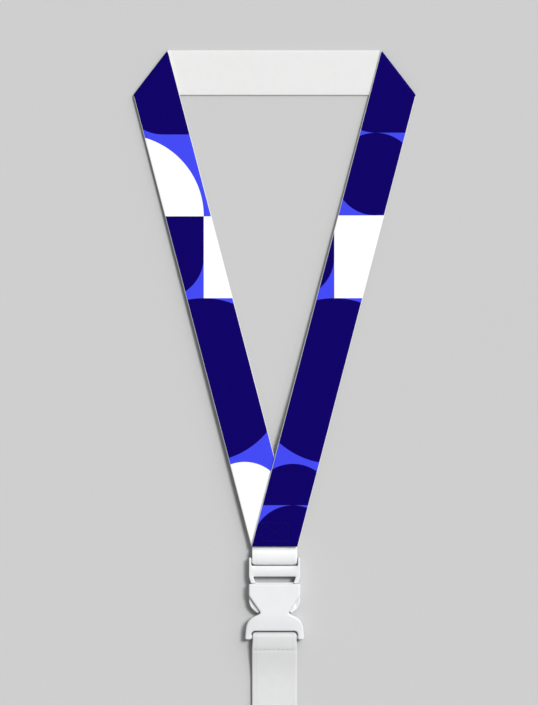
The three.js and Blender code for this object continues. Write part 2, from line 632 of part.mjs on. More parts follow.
// The claw is a ring with long straight sides, open on the left between the gate's pivot and its nose.
function hookBody() {
  const stadium = (radius) => {
    const shape = new THREE.Shape();
    shape.absarc(0, -CLAW_TOP_CENTRE, radius, 0, Math.PI, false);
    shape.absarc(0, -CLAW_BOTTOM_CENTRE, radius, Math.PI, 2 * Math.PI, false);
    return shape;
  };
  const half = CLAW_THICKNESS / 2;
  const ring = stadium(CLAW_OUTER_RADIUS);
  const barrel = new THREE.CylinderGeometry(BARREL_RADIUS, BARREL_RADIUS, BARREL_LENGTH, 24);
  barrel.translate(0, -BARREL_LENGTH / 2, 0);
  const throat = slab(stadium(CLAW_INNER_RADIUS), -2 * half, 2 * half);
  const gapTop = GATE_PIVOT_DROP + GATE_HUB_RADIUS + 0.7;
  const mouth = rectangle(CLAW_OUTER_RADIUS + 1, NOSE_TOP - gapTop, -(CLAW_OUTER_RADIUS + 1) / 2,
    -(NOSE_TOP + gapTop) / 2);
  const slotHalf = half - GATE_EAR_THICKNESS;
  const slotRight = GATE_PIVOT_X + GATE_HUB_RADIUS + GAP;
  const slotTop = GATE_PIVOT_DROP - GATE_HUB_RADIUS - GAP;
  const slot = outline([
    [slotRight, -gapTop - 1],
    [slotRight, -slotTop],
    [-CLAW_OUTER_RADIUS - 1, -slotTop],
    [-CLAW_OUTER_RADIUS - 1, -gapTop - 1],
  ]);
  const socket = new THREE.CylinderGeometry(RIVET_SHAFT_RADIUS + GAP, RIVET_SHAFT_RADIUS + GAP,
    2 * (RIVET_DEPTH + GAP), 20);
  const pinHole = rodAlongZ(GATE_PIN_RADIUS + GAP, -CLAW_THICKNESS, CLAW_THICKNESS, 12);
  pinHole.translate(GATE_PIVOT_X, -GATE_PIVOT_DROP, 0);
  return cut(join([slab(ring, -half, half), barrel]), [
    throat,
    slab(mouth, -2 * half, 2 * half),
    slab(slot, -slotHalf, slotHalf),
    socket,
    pinHole,
  ]);
}

const GATE_BOTTOM = -CLAW_THICKNESS / 2 + GATE_EAR_THICKNESS + GAP;
const GATE_TOP = CLAW_THICKNESS / 2 - GATE_EAR_THICKNESS - GAP;
const GATE_HUB_TOP = GATE_BOTTOM + GATE_HUB_THICKNESS;

// The gate turns on its pin. Its arm closes inside the nose, and a thumb tab stands out on the left.
function gateLever() {
  // the arm's left edge just clears the corner of the nose
  const corner = [GAP - CLAW_INNER_RADIUS - GATE_PIVOT_X, NOSE_TOP - GATE_PIVOT_DROP];
  const lean = Math.atan2(...corner) + Math.asin(GATE_ARM_WIDTH / 2 / Math.hypot(...corner));
  const reach = (corner[1] + NOSE_OVERLAP) / Math.cos(lean);
  const arm = (from) => {
    const shape = rectangle(GATE_ARM_WIDTH, reach - from, 0, -(reach + from) / 2);
    return (low, high) => slab(shape, low, high).rotateZ(lean);
  };
  const tab = (from) => {
    const shape = rectangle(TAB_LENGTH - from, TAB_WIDTH, -(TAB_LENGTH + from) / 2, 0);
    return (low, high) => slab(shape, low, high).rotateZ(-TAB_LEAN);
  };
  const clearOfSpring = SPRING_RADIUS + SPRING_WIRE_RADIUS + 0.9;
  const whole = join([
    rodAlongZ(GATE_HUB_RADIUS, GATE_BOTTOM, GATE_HUB_TOP),
    arm(0)(GATE_BOTTOM, GATE_HUB_TOP),
    arm(clearOfSpring)(GATE_BOTTOM, GATE_TOP),
    tab(0)(GATE_BOTTOM, GATE_HUB_TOP),
    tab(clearOfSpring)(GATE_BOTTOM, GATE_TOP),
  ]);
  return cut(whole, [rodAlongZ(GATE_PIN_RADIUS + GAP, -CLAW_THICKNESS, CLAW_THICKNESS, 12)]);
}

// A torsion spring round the pin, above the gate's hub, with a short straight leg at each end.
class SpringWire extends THREE.Curve {
  getPoint(t, target = new THREE.Vector3()) {
    const leg = 0.08; // share of the wire in each leg
    const legLength = 1.7;
    const share = THREE.MathUtils.clamp((t - leg) / (1 - 2 * leg), 0, 1);
    const angle = 2 * Math.PI * SPRING_TURNS * share;
    const bottom = GATE_HUB_TOP + 0.2 + SPRING_WIRE_RADIUS;
    target.set(SPRING_RADIUS * Math.cos(angle), SPRING_RADIUS * Math.sin(angle),
      bottom + SPRING_PITCH * SPRING_TURNS * share);
    const past = t < leg ? t / leg - 1 : Math.max(0, (t - 1 + leg) / leg);
    target.x -= Math.sin(angle) * legLength * past;
    target.y += Math.cos(angle) * legLength * past;
    return target;
  }
}

function gateSpring() {
  const section = new THREE.Shape();
  section.absarc(0, 0, SPRING_WIRE_RADIUS, 0, 2 * Math.PI, false);
  const options = { steps: 44, extrudePath: new SpringWire(), curveSegments: 3 };
  return new THREE.ExtrudeGeometry(section, options);
}

// ---- the whole lanyard -------------------------------------------------------------------------------

const pin = rodAlongZ(GATE_PIN_RADIUS, -CLAW_THICKNESS / 2, CLAW_THICKNESS / 2, 12);

const gate = assembly(GATE_PIVOT_X, -GATE_PIVOT_DROP, 0, [
  part('gate_lever', gateLever(), PLATED_METAL),
  part('gate_pin', pin, PLATED_METAL),
  part('gate_spring', gateSpring(), SPRING_STEEL),
]);

const hook = assembly(0, -BARREL_TOP, 0, [part('hook_body', hookBody(), PLATED_METAL), gate]);

const eye = assembly(0, -LOWER_REACH, BAR_HEIGHT, [
  part('hook_eye', hookEye(), PLATED_METAL),
  part('swivel_rivet', swivelRivet(), PLATED_METAL),
  hook,
]);

const lower = assembly(0, -BAR_DROP - LOWER_BAR, 0, [
  part('lower_strap', lowerStrap(), WHITE_FABRIC),
  part('upper_seam', rowSeamThread(TOP_SEAM_Y), WHITE_THREAD),
  part('lower_seam', rowSeamThread(BOTTOM_SEAM_Y), WHITE_THREAD),
  eye,
]);

const prongLeft = part('prong_left', prong(-1), WHITE_PLASTIC);
prongLeft.position.set(-PRONG_PIVOT_X, -PRONG_PIVOT_DROP, 0);
const prongRight = part('prong_right', prong(1), WHITE_PLASTIC);
prongRight.position.set(PRONG_PIVOT_X, -PRONG_PIVOT_DROP, 0);

const buckle = assembly(0, -BAR_DROP, BAR_HEIGHT, [
  part('male_frame', maleFrame(), WHITE_PLASTIC),
  prongLeft,
  prongRight,
  part('female_body', femaleBody(), WHITE_PLASTIC),
]);

const lanyard = new THREE.Group();
lanyard.add(
  part('neck_strap', neckStrap(), PRINTED_FABRIC),
  part('buckle_tab', buckleTab(), WHITE_FABRIC),
  part('tab_stitching', boxSeamThread(), NAVY_THREAD),
  buckle,
  lower,
);

const box = new THREE.Box3().setFromObject(lanyard);
const centre = box.getCenter(new THREE.Vector3());
lanyard.position.set(-centre.x, -centre.y, -box.min.z);

export default lanyard;
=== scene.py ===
import math

import bmesh
import bpy
import numpy as np
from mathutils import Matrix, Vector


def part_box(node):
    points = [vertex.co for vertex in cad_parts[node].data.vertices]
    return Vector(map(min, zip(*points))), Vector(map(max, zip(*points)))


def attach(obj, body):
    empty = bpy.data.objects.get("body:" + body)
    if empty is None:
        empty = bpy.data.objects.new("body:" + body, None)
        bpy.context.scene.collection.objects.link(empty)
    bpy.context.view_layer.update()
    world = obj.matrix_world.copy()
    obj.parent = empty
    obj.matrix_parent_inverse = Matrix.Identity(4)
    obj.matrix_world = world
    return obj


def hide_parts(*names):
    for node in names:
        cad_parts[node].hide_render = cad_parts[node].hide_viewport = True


# All sizes are in metres, in the one frame that the design, the motion and this file share: x to the
# right, y up along the lanyard, and z up off the table.

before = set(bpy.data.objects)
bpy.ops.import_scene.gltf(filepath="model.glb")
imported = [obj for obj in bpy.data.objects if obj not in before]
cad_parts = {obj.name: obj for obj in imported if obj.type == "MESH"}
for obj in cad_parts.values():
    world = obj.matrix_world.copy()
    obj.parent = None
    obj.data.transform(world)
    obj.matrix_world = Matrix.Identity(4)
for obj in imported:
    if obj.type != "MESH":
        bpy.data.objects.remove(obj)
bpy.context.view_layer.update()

# ---- the table, the lights and the view ----
# The lanyard lies on its back on a plain pale table, seen from straight above, with the sewn end of
# the neck strap near the middle of the view and the hook past its lower edge.

VIEW_CENTRE = (-0.0031, 0.0465)
VIEW_HEIGHT = 0.3917
LENS = 200
SENSOR = 36

camera_data = bpy.data.cameras.new("view")
camera_data.lens = LENS
camera_data.sensor_fit = "VERTICAL"
camera_data.sensor_height = SENSOR
camera_data.clip_start = 0.01
camera = bpy.data.objects.new("view", camera_data)
camera.location = (*VIEW_CENTRE, VIEW_HEIGHT * LENS / SENSOR)
bpy.context.scene.collection.objects.link(camera)
bpy.context.scene.camera = camera
bpy.context.scene.view_settings.view_transform = "Standard"


def placed(name, mesh, material):
    """Puts a finished mesh in the scene at the origin, with its one material."""
    piece = bpy.data.objects.new(name, mesh)
    bpy.context.scene.collection.objects.link(piece)
    mesh.materials.clear()
    mesh.materials.append(material)
    return piece


class Finish:
    """A material's nodes, added one by one. Each call returns the socket that it makes."""

    def __init__(self, name, **shader):
        self.material = bpy.data.materials.new(name)
        self.material.use_nodes = True
        self.tree = self.material.node_tree
        self.shader = self.tree.nodes["Principled BSDF"]
        for socket, value in shader.items():
            self.shader.inputs[socket.replace("_", " ")].default_value = value

    def node(self, kind, settings, inputs, output=0):
        """One node. An input that is another node's socket is linked, and any other is a set value."""
        made = self.tree.nodes.new(kind)
        for setting, value in settings.items():
            setattr(made, setting, value)
        for socket, value in inputs.items():
            if isinstance(value, bpy.types.NodeSocket):
                self.tree.links.new(value, made.inputs[socket])
            else:
                made.inputs[socket].default_value = value
        return made.outputs[output]

    def math(self, operation, *values):
        return self.node("ShaderNodeMath", {"operation": operation}, dict(enumerate(values)))

    def uv(self, name):
        """The piece's own map of the two distances, or of the print's tiles."""
        return self.node("ShaderNodeUVMap", {"uv_map": name}, {})

    def place(self):
        """The point of the piece in metres, which stays with the piece when it moves."""
        return self.node("ShaderNodeTexCoord", {}, {}, "Object")

    def parts(self, vector):
        """A vector's three numbers, each as a socket."""
        split = self.tree.nodes.new("ShaderNodeSeparateXYZ")
        self.tree.links.new(vector, split.inputs[0])
        return split.outputs

    def stretched(self, vector, scale):
        return self.node("ShaderNodeMapping", {}, {"Vector": vector, "Scale": scale})

    def noise(self, vector, scale, detail=3.0, roughness=0.5):
        inputs = {"Vector": vector, "Scale": scale, "Detail": detail, "Roughness": roughness}
        return self.node("ShaderNodeTexNoise", {}, inputs, "Fac")

    def spread(self, value, low, high, to_low, to_high):
        """A value between low and high, stretched to run from to_low to to_high."""
        inputs = {0: value, 1: low, 2: high, 3: to_low, 4: to_high}
        return self.node("ShaderNodeMapRange", {}, inputs)

    def mixed(self, share, first, second):
        """The first colour, turning into the second as share goes from 0 to 1. A mix node keeps its
        factor and its two colours in sockets 0, 6 and 7, and its mixed colour in output 2."""
        return self.node("ShaderNodeMix", {"data_type": "RGBA"}, {0: share, 6: first, 7: second}, 2)

    def relief(self, height, depth, under=None, strength=1.0):
        """A bump as deep as depth where height is 1, on top of another relief if one is given."""
        inputs = {"Height": height, "Distance": depth, "Strength": strength}
        if under is not None:
            inputs["Normal"] = under
        return self.node("ShaderNodeBump", {}, inputs)

    def finished(self, colour, roughness, normal):
        """Joins the three to the shader and gives the material."""
        self.tree.links.new(colour, self.shader.inputs["Base Color"])
        self.tree.links.new(roughness, self.shader.inputs["Roughness"])
        self.tree.links.new(normal, self.shader.inputs["Normal"])
        return self.material


def table_top():
    """Matt laminate, pale grey, with faint clouding and a very fine grain."""
    finish = Finish("table_top", Specular_IOR_Level=0.2)
    tone = finish.noise(finish.place(), 3.0)
    grain = finish.noise(finish.place(), 900.0)
    colour = finish.mixed(tone, (0.510, 0.508, 0.505, 1), (0.530, 0.528, 0.525, 1))
    roughness = finish.spread(tone, 0, 1, 0.8, 0.9)
    return finish.finished(colour, roughness, finish.relief(grain, 0.00005, strength=0.3))


TABLE_HALF = 1.5
table_corners = [(x * TABLE_HALF, y * TABLE_HALF, 0) for x, y in ((-1, -1), (1, -1), (1, 1), (-1, 1))]
table_mesh = bpy.data.meshes.new("table")
table_mesh.from_pydata(table_corners, [], [(0, 1, 2, 3)])
table = placed("table", table_mesh, table_top())

world = bpy.data.worlds.new("studio")
world.use_nodes = True
background = world.node_tree.nodes["Background"]
background.inputs["Color"].default_value = (0.96, 0.98, 1.0, 1)
background.inputs["Strength"].default_value = 0.3
bpy.context.scene.world = world

# Both lights come from the upper right. The high one casts the short shadows, and the low and wide
# one shades what curves away from it. Slopes are how far a shadow falls left and down per height.
LIGHTS = {
    "high_light": {"energy": 2.3, "spread": 15, "left": 0.42, "down": 0.30},
    "low_light": {"energy": 1.25, "spread": 60, "left": 0.80, "down": 0.95},
}
for name, light in LIGHTS.items():
    sun_data = bpy.data.lights.new(name, "SUN")
    sun_data.energy = light["energy"]
    sun_data.angle = math.radians(light["spread"])
    sun = bpy.data.objects.new(name, sun_data)
    tilt = math.atan(math.hypot(light["left"], light["down"]))
    sun.rotation_euler = (0, tilt, math.atan2(light["down"], light["left"]))
    bpy.context.scene.collection.objects.link(sun)

# ---- neck strap ----
# One length of polyester webbing, woven white and dye-printed on one face. The middle lies white side
# up behind the neck. At each side it is folded over on a slant and runs down as a leg, and both legs
# are cut level and sewn together, the right one on the left one.

WEBBING_WIDTH = 0.025
WEBBING_THICKNESS = 0.0012
PLY_PITCH = 0.0015  # from one ply to the next in a stack
NAPE_SPAN = 0.1376  # between the legs' middle lines at the nape
LEG_DROP = 0.2628  # from the nape's middle line to the level cut
SEWN_END_HEIGHT = 0.0015
CLIMB_LENGTH = 0.035  # over which the right leg climbs on the left one
CLIMB_MARGIN = 0.004
ROLL_RADIUS = PLY_PITCH / 2
ROLL_LENGTH = math.pi * ROLL_RADIUS
LEG_ANGLE = math.atan2(NAPE_SPAN / 2, LEG_DROP)
CREASE_ANGLE = (math.pi / 2 + LEG_ANGLE) / 2
CREASE_X = (
    (LEG_DROP - ROLL_LENGTH * math.cos(CREASE_ANGLE)) * math.tan(LEG_ANGLE)
    - ROLL_LENGTH * math.cos(CREASE_ANGLE) / math.tan(CREASE_ANGLE)
)
CLIMB_END = WEBBING_WIDTH / 2 / math.sin(LEG_ANGLE) + CLIMB_MARGIN
LEG_TOP = (
    LEG_DROP
    - WEBBING_WIDTH / 2 * (math.cos(LEG_ANGLE) / math.tan(CREASE_ANGLE) + math.sin(LEG_ANGLE))
    - ROLL_LENGTH * (math.cos(LEG_ANGLE) / math.sin(CREASE_ANGLE) - math.cos(CREASE_ANGLE))
    - (PLY_PITCH - WEBBING_THICKNESS)
)
CUT_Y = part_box("neck_strap")[0][1]  # level cut of both legs' ends


def webbing_section():
    """The ring of webbing seen end on, as distances across it and off its middle. The faces are flat
    and thin a little at both edges, and each edge is a half circle as thick as the webbing there."""
    edge = WEBBING_THICKNESS * 0.42
    reach = WEBBING_WIDTH / 2 - edge
    face = reach * np.sin(np.linspace(-0.5, 0.5, 13) * math.pi)
    turn = np.linspace(0, math.pi, 9)[1:-1]
    side = reach + edge * np.sin(turn)
    across = np.concatenate([face, side, face[::-1], -side])
    full = WEBBING_THICKNESS / 2
    swell = full - (full - edge) * np.clip(np.abs(face) / reach, 0, 1) ** 16
    off = np.concatenate([swell, edge * np.cos(turn), -swell[::-1], -edge * np.cos(turn)])
    return across, off


def left_leg_height(y):
    """The underside runs straight from the fold down to the sewn stack."""
    share = np.clip(1 - y / LEG_TOP, 0, 1)
    return PLY_PITCH + (SEWN_END_HEIGHT + PLY_PITCH) * share


def right_leg_height(y):
    """The same line, and a smooth step of one ply over the stretch where it climbs on the left leg."""
    step = np.clip((y - CLIMB_END) / CLIMB_LENGTH, 0, 1)
    return left_leg_height(y) + PLY_PITCH * (1 - step * step * (3 - 2 * step))


def folded(side, off_centre, past_crease, off_middle):
    """Where a point of the flat strap lies. Its place is turned to the crease's own directions, along
    it and beyond it. What is beyond goes half round a roll, and then back the other way, one ply up."""
    sin, cos = math.sin(CREASE_ANGLE), math.cos(CREASE_ANGLE)
    along = past_crease * cos - off_centre * sin
    beyond = past_crease * sin + off_centre * cos
    radius = ROLL_RADIUS - off_middle
    middle = WEBBING_THICKNESS / 2 + ROLL_RADIUS
    turned = np.clip(beyond / ROLL_RADIUS, 0, math.pi)
    flat_run = np.minimum(beyond, 0) - np.maximum(beyond - ROLL_LENGTH, 0)
    outward = flat_run + radius * np.sin(turned)
    x = side * (CREASE_X + along * cos + outward * sin)
    y = LEG_DROP - along * sin + outward * cos
    leg = right_leg_height(y) if side > 0 else left_leg_height(y)
    z = middle - radius * np.cos(turned) + np.where(beyond > ROLL_LENGTH, leg - PLY_PITCH, 0)
    return np.stack([x, y, z], axis=-1)


def strap_lines():
    """Lines across the flat strap from the nape's middle to the cut end: how far each is past the
    crease on the centre line, and how much that grows across the webbing. They turn from square to
    the slant of the fold, and from there to the slant of the level cut."""
    square = np.linspace(-CREASE_X, -0.75 * WEBBING_WIDTH, 34)
    to_fold = np.linspace(0, 1, 12)[1:-1]
    fold = np.linspace(0, ROLL_LENGTH, 15) / math.sin(CREASE_ANGLE)
    levels = np.concatenate([
        np.linspace(LEG_TOP, LEG_TOP - 0.002, 3),
        np.linspace(LEG_TOP - 0.004, 0.0015, 170),
        [0.0008, 0.0003, 0],
    ])
    drops = (LEG_DROP - levels + ROLL_LENGTH * math.cos(CREASE_ANGLE)) / math.cos(LEG_ANGLE)
    fold_slant = -1 / math.tan(CREASE_ANGLE)
    past = np.concatenate([square, square[-1] * (1 - to_fold), fold, drops])
    slant = np.concatenate([
        np.zeros(len(square)),
        fold_slant * to_fold,
        np.full(len(fold), fold_slant),
        np.full(len(drops), math.tan(LEG_ANGLE)),
    ])
    return past, slant


def grid_mesh(name, points, closed=False):
    """A skin of quads over a grid of points, or over several grids alike. Each row is a ring and
    closes on itself. The last row joins the first if closed, and otherwise both end rows are filled."""
    grids = points if points.ndim == 4 else points[None]
    index = np.arange(grids.size // 3).reshape(grids.shape[:3])
    near = index if closed else index[:, :-1]
    far = np.roll(index, -1, axis=1) if closed else index[:, 1:]
    quads = np.stack([near, np.roll(near, -1, axis=2), np.roll(far, -1, axis=2), far], axis=-1)
    faces = quads.reshape(-1, 4).tolist()
    if not closed:
        faces += index[:, 0, ::-1].tolist() + index[:, -1].tolist()
    mesh = bpy.data.meshes.new(name)
    mesh.from_pydata(grids.reshape(-1, 3), [], faces)
    face_outwards(mesh)
    return mesh


def face_outwards(mesh):
    """Turns every face outwards and shades them smooth."""
    shape = bmesh.new()
    shape.from_mesh(mesh)
    bmesh.ops.recalc_face_normals(shape, faces=shape.faces)
    shape.to_mesh(mesh)
    shape.free()
    mesh.shade_smooth()


PRINT_LEVEL = 0.1376  # height above the cut where the print's tiles meet
LEFT_TILE = 0.0454
RIGHT_TILE = 0.0459
LEFT_TILE_X = -0.0393
RIGHT_TILE_X = 0.0331


def add_uv(mesh, name, values):
    """A UV map that takes its two numbers from each corner's vertex."""
    corner = np.empty(len(mesh.loops), dtype=np.int32)
    mesh.loops.foreach_get("vertex_index", corner)
    layer = mesh.uv_layers.new(name=name)
    layer.uv.foreach_set("vector", values.reshape(-1, 2)[corner].astype(np.float32).ravel())


def add_number(mesh, name, values):
    """One number for each vertex, in the same order as the grid's points."""
    attribute = mesh.attributes.new(name, "FLOAT", "POINT")
    attribute.data.foreach_set("value", np.ascontiguousarray(values, dtype=np.float32).ravel())


def neck_webbing():
    """The section carried along the lines, from the left cut end to the nape's middle and on to the
    right one. Its maps hold the distances across and along the webbing in millimetres, and the place
    in the print's tiles where each point lies once the strap is folded."""
    across, off = webbing_section()
    past, slant = strap_lines()
    reach = past[:, None] + slant[:, None] * across
    left, right = (folded(side, across, reach, off) for side in (-1, 1))
    points = np.concatenate([left[:0:-1], right])
    along = np.concatenate([-(reach + CREASE_X)[:0:-1], reach + CREASE_X])
    on_right = np.arange(len(points))[:, None] >= len(past) - 1
    tile = np.where(on_right, RIGHT_TILE, LEFT_TILE)
    p = (points[..., 0] - np.where(on_right, RIGHT_TILE_X, LEFT_TILE_X)) / tile
    q = (points[..., 1] - PRINT_LEVEL) / tile
    points[..., 1] += CUT_Y
    mesh = grid_mesh("neck_webbing", points)
    wide = np.broadcast_to(across, along.shape)
    add_uv(mesh, "webbing", np.stack([wide, along], axis=-1) * 1000)
    add_uv(mesh, "tiles", np.stack([p, q], axis=-1))
    add_number(mesh, "right_leg", np.broadcast_to(on_right, along.shape))
    add_number(mesh, "printed_face", np.broadcast_to(off < 0, along.shape))
    return mesh


def weave(finish, across, along, rib=0.46, pick=0.36):
    """Webbing's weave as a height from 0 to 1: ribs along it crossed by picks that swap over and
    under from one rib to the next, so one sine along times another across."""
    ribs = finish.math("SINE", finish.math("MULTIPLY", across, math.pi / rib))
    picks = finish.math("SINE", finish.math("MULTIPLY", along, math.pi / pick))
    crossed = finish.math("MULTIPLY", ribs, picks)
    return finish.spread(crossed, -1, 1, 0, 1)


def attribute(finish, name):
    """The number that add_number stored under this name."""
    return finish.node("ShaderNodeAttribute", {"attribute_name": name}, {}, "Fac")


class Print(Finish):
    """Shapes of the print in tile places p and q, each 1 inside and 0 outside."""

    def lay_out(self):
        """Reads the tile places, before any shape is asked for."""
        self.p, self.q = self.parts(self.uv("tiles"))[:2]

    def disc(self, p, q, radius):
        from_p = self.math("SUBTRACT", self.p, p)
        from_q = self.math("SUBTRACT", self.q, q)
        square = self.math("ADD", self.math("POWER", from_p, 2.0), self.math("POWER", from_q, 2.0))
        return self.math("LESS_THAN", square, radius * radius)

    def above(self, q):
        return self.math("GREATER_THAN", self.q, q)

    def below(self, q):
        return self.math("LESS_THAN", self.q, q)

    def right_of(self, p):
        return self.math("GREATER_THAN", self.p, p)

    def left_of(self, p):
        return self.math("LESS_THAN", self.p, p)

    def both(self, *shapes):
        whole = shapes[0]
        for shape in shapes[1:]:
            whole = self.math("MULTIPLY", whole, shape)
        return whole

    def either(self, *shapes):
        whole = shapes[0]
        for shape in shapes[1:]:
            whole = self.math("MAXIMUM", whole, shape)
        return whole


NAVY = (0.0035, 0.0, 0.120, 1)
ROYAL = (0.052, 0.062, 0.80, 1)
PRINT_WHITE = (0.91, 0.91, 0.90, 1)
BARE_WHITE = (0.72, 0.72, 0.71, 1)


def printed_webbing():
    """Dye in three flat colours laid out on square tiles, with the weave's ribs and picks under it and
    fibre ends along the yarn. Each leg has its own tile shapes. The reverse and both edges are bare."""
    finish = Print("printed_webbing", Specular_IOR_Level=0.015, Sheen_Weight=0.01, Sheen_Roughness=0.4)
    across, along = finish.parts(finish.uv("webbing"))[:2]
    finish.lay_out()
    disc, both, either = finish.disc, finish.both, finish.either
    above, below, left_of, right_of = finish.above, finish.below, finish.left_of, finish.right_of
    middle_tile = both(above(0.0), below(1.0))
    low_disc = both(disc(0, -1, 1), below(0.0))
    half_tile = both(middle_tile, left_of(0.0), either(above(0.5), disc(-0.5, 0.5, 0.5)))
    left_navy = either(
        above(2.5),
        both(above(2.0), right_of(-0.5)),
        disc(-0.5, 2.5, 0.5),
        half_tile,
        low_disc,
    )
    left_white = either(
        both(above(1.0), below(2.0), disc(-1, 1, 1)),
        both(middle_tile, right_of(0.0)),
        disc(0.5, -2.5, 0.5),
        both(below(-2.5), right_of(0.0), left_of(1.0)),
    )
    right_navy = either(
        above(2.5),
        both(above(2.0), right_of(0.5)),
        disc(0.5, 2.5, 0.5),
        disc(0.5, 1.5, 0.5),
        half_tile,
        low_disc,
        both(disc(-0.5, -2.5, 0.5), above(-2.5)),
        both(disc(-0.5, -3, 0.5), below(-2.5)),
    )
    right_white = both(middle_tile, right_of(0.0))
    leg = finish.math("GREATER_THAN", attribute(finish, "right_leg"), 0.5)
    left = finish.mixed(left_white, finish.mixed(left_navy, ROYAL, NAVY), PRINT_WHITE)
    right = finish.mixed(right_white, finish.mixed(right_navy, ROYAL, NAVY), PRINT_WHITE)
    ink = finish.mixed(leg, left, right)

    # the dye stops just short of both edges and leaves the reverse white
    edge = finish.math("ABSOLUTE", across)
    inside = finish.math("LESS_THAN", edge, WEBBING_WIDTH * 500 - 0.32)
    face = finish.math("GREATER_THAN", attribute(finish, "printed_face"), 0.5)
    bare = finish.mixed(finish.noise(finish.uv("webbing"), 0.25), BARE_WHITE, (0.76, 0.76, 0.75, 1))
    colour = finish.mixed(both(inside, face), bare, ink)

    height = weave(finish, across, along)
    fibre = finish.noise(finish.stretched(finish.uv("webbing"), (9, 1.2, 1)), 1.0, 4.0, 0.6)
    # painted shade and highlight: the colour is darkened in the weave's hollows and lightened along the
    # fibre ends, on top of the bump that shapes them
    lit = finish.mixed(finish.math("MULTIPLY", fibre, 0.015), colour, (1, 1, 1, 1))
    sunk = finish.mixed(0.16, colour, (0, 0, 0, 1))
    weave_painted_shade = finish.mixed(finish.math("MULTIPLY", height, 0.5), sunk, lit)
    roughness = finish.spread(fibre, 0.3, 0.7, 0.62, 0.8)
    woven = finish.relief(height, 0.00006)
    return finish.finished(finish.mixed(0.35, colour, weave_painted_shade), roughness, finish.relief(fibre, 0.00003, woven))


neck = placed("neck_webbing", neck_webbing(), printed_webbing())
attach(neck, "neck_loop")
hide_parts("neck_strap")

# ---- buckle tab ----
# A short length of plain white webbing that loops round the buckle's strap bar. Both ends reach up
# under the legs of the neck strap and are sewn in with them, and the bar draws its corners in.

MALE_BAR_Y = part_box("male_frame")[1][1] - 0.0014  # middle of the strap bar
BAR_HEIGHT = 0.004
BAR_RADIUS = 0.00125
BAR_GAP = 0.0003  # between a bar and the webbing round it
TAB_TAIL = 0.018
TAB_ROLL = 0.0058  # length over which the front of the tab rolls over
TAB_LIFT = 0.0004  # more than the bar's own height there
CORNER_DRAW = 0.0017


def straight(start, end, steps=12):
    """Evenly spaced points from start to end, both counted."""
    share = np.linspace(0, 1, steps)[:, None]
    return np.array(start) * (1 - share) + np.array(end) * share


def bezier(a, b, c, d, steps=16):
    """Cubic curve from a to d, pulled towards b and c."""
    t = np.linspace(0, 1, steps)[:, None]
    near = np.array(a) * (1 - t) ** 3 + np.array(b) * (3 * t * (1 - t) ** 2)
    return near + np.array(c) * (3 * t * t * (1 - t)) + np.array(d) * t ** 3


def arc(centre, radius, start, end, steps=18):
    """Points on a circle from one angle to another."""
    turn = np.linspace(start, end, steps)
    return np.array(centre) + radius * np.stack([np.cos(turn), np.sin(turn)], axis=-1)


def run_on(*stretches):
    """Stretches of a flat path joined end to end, without the points that two of them share."""
    path = np.concatenate(stretches)
    step = np.linalg.norm(np.diff(path, axis=0), axis=1)
    return path[np.concatenate([[True], step > 1e-7])]


def looped_webbing(name, path, drawn_in):
    """The webbing's section carried along a path seen edge on, given as y and z. Across the webbing
    each ring is narrowed by the share that drawn_in gives for its y."""
    across, off = webbing_section()
    run = np.gradient(path, axis=0)
    run /= np.linalg.norm(run, axis=1)[:, None]
    y = path[:, :1] - run[:, 1:] * off
    z = path[:, 1:] + run[:, :1] * off
    edge = WEBBING_WIDTH / 2
    x = np.clip(across / edge, -1, 1) * (edge - drawn_in(y))
    mesh = grid_mesh(name, np.stack([x, y, z], axis=-1))
    along = np.concatenate([[0], np.cumsum(np.linalg.norm(np.diff(path, axis=0), axis=1))])
    wide = np.broadcast_to(across, x.shape)
    far = np.broadcast_to(along[:, None], x.shape)
    add_uv(mesh, "webbing", np.stack([wide, far], axis=-1) * 1000)
    return mesh, along[-1]


def corner_draw(distance):
    """How far an edge is drawn in at a distance from the loop's end: a quarter circle there."""
    near = np.clip(CORNER_DRAW - distance, 0, CORNER_DRAW)
    return CORNER_DRAW - np.sqrt(CORNER_DRAW ** 2 - near ** 2)


def tab_path():
    """Up behind the legs, down and round the bar on a circle, and back over it on a long quarter
    ellipse that the stiff webbing makes before it goes in under the legs."""
    half = WEBBING_THICKNESS / 2
    radius = BAR_RADIUS + BAR_GAP + half
    drop = CUT_Y - MALE_BAR_Y

    def front(y):
        """Middle of the ply that lies against the legs, at a distance above the cut."""
        return float(left_leg_height(y)) - PLY_PITCH + half

    roll, crown = TAB_ROLL, radius + TAB_LIFT
    turn = np.linspace(math.pi, math.pi / 2, 20)
    ellipse_y = -drop - radius + roll + roll * np.cos(turn)
    ellipse = np.stack([ellipse_y, BAR_HEIGHT + crown * np.sin(turn)], axis=-1)
    crest = ellipse[-1, 0]
    path = run_on(
        straight((TAB_TAIL, front(TAB_TAIL) - PLY_PITCH), (0, front(0) - PLY_PITCH), 24),
        straight((0, front(0) - PLY_PITCH), (-drop, BAR_HEIGHT - radius)),
        arc((-drop, BAR_HEIGHT), radius, -math.pi / 2, -math.pi, 10),
        ellipse,
        bezier(ellipse[-1], (0.5 * crest, BAR_HEIGHT + crown), (0.4 * crest, front(0)), (0, front(0))),
        straight((0, front(0)), (TAB_TAIL, front(TAB_TAIL)), 24),
    )
    return path + (CUT_Y, 0)


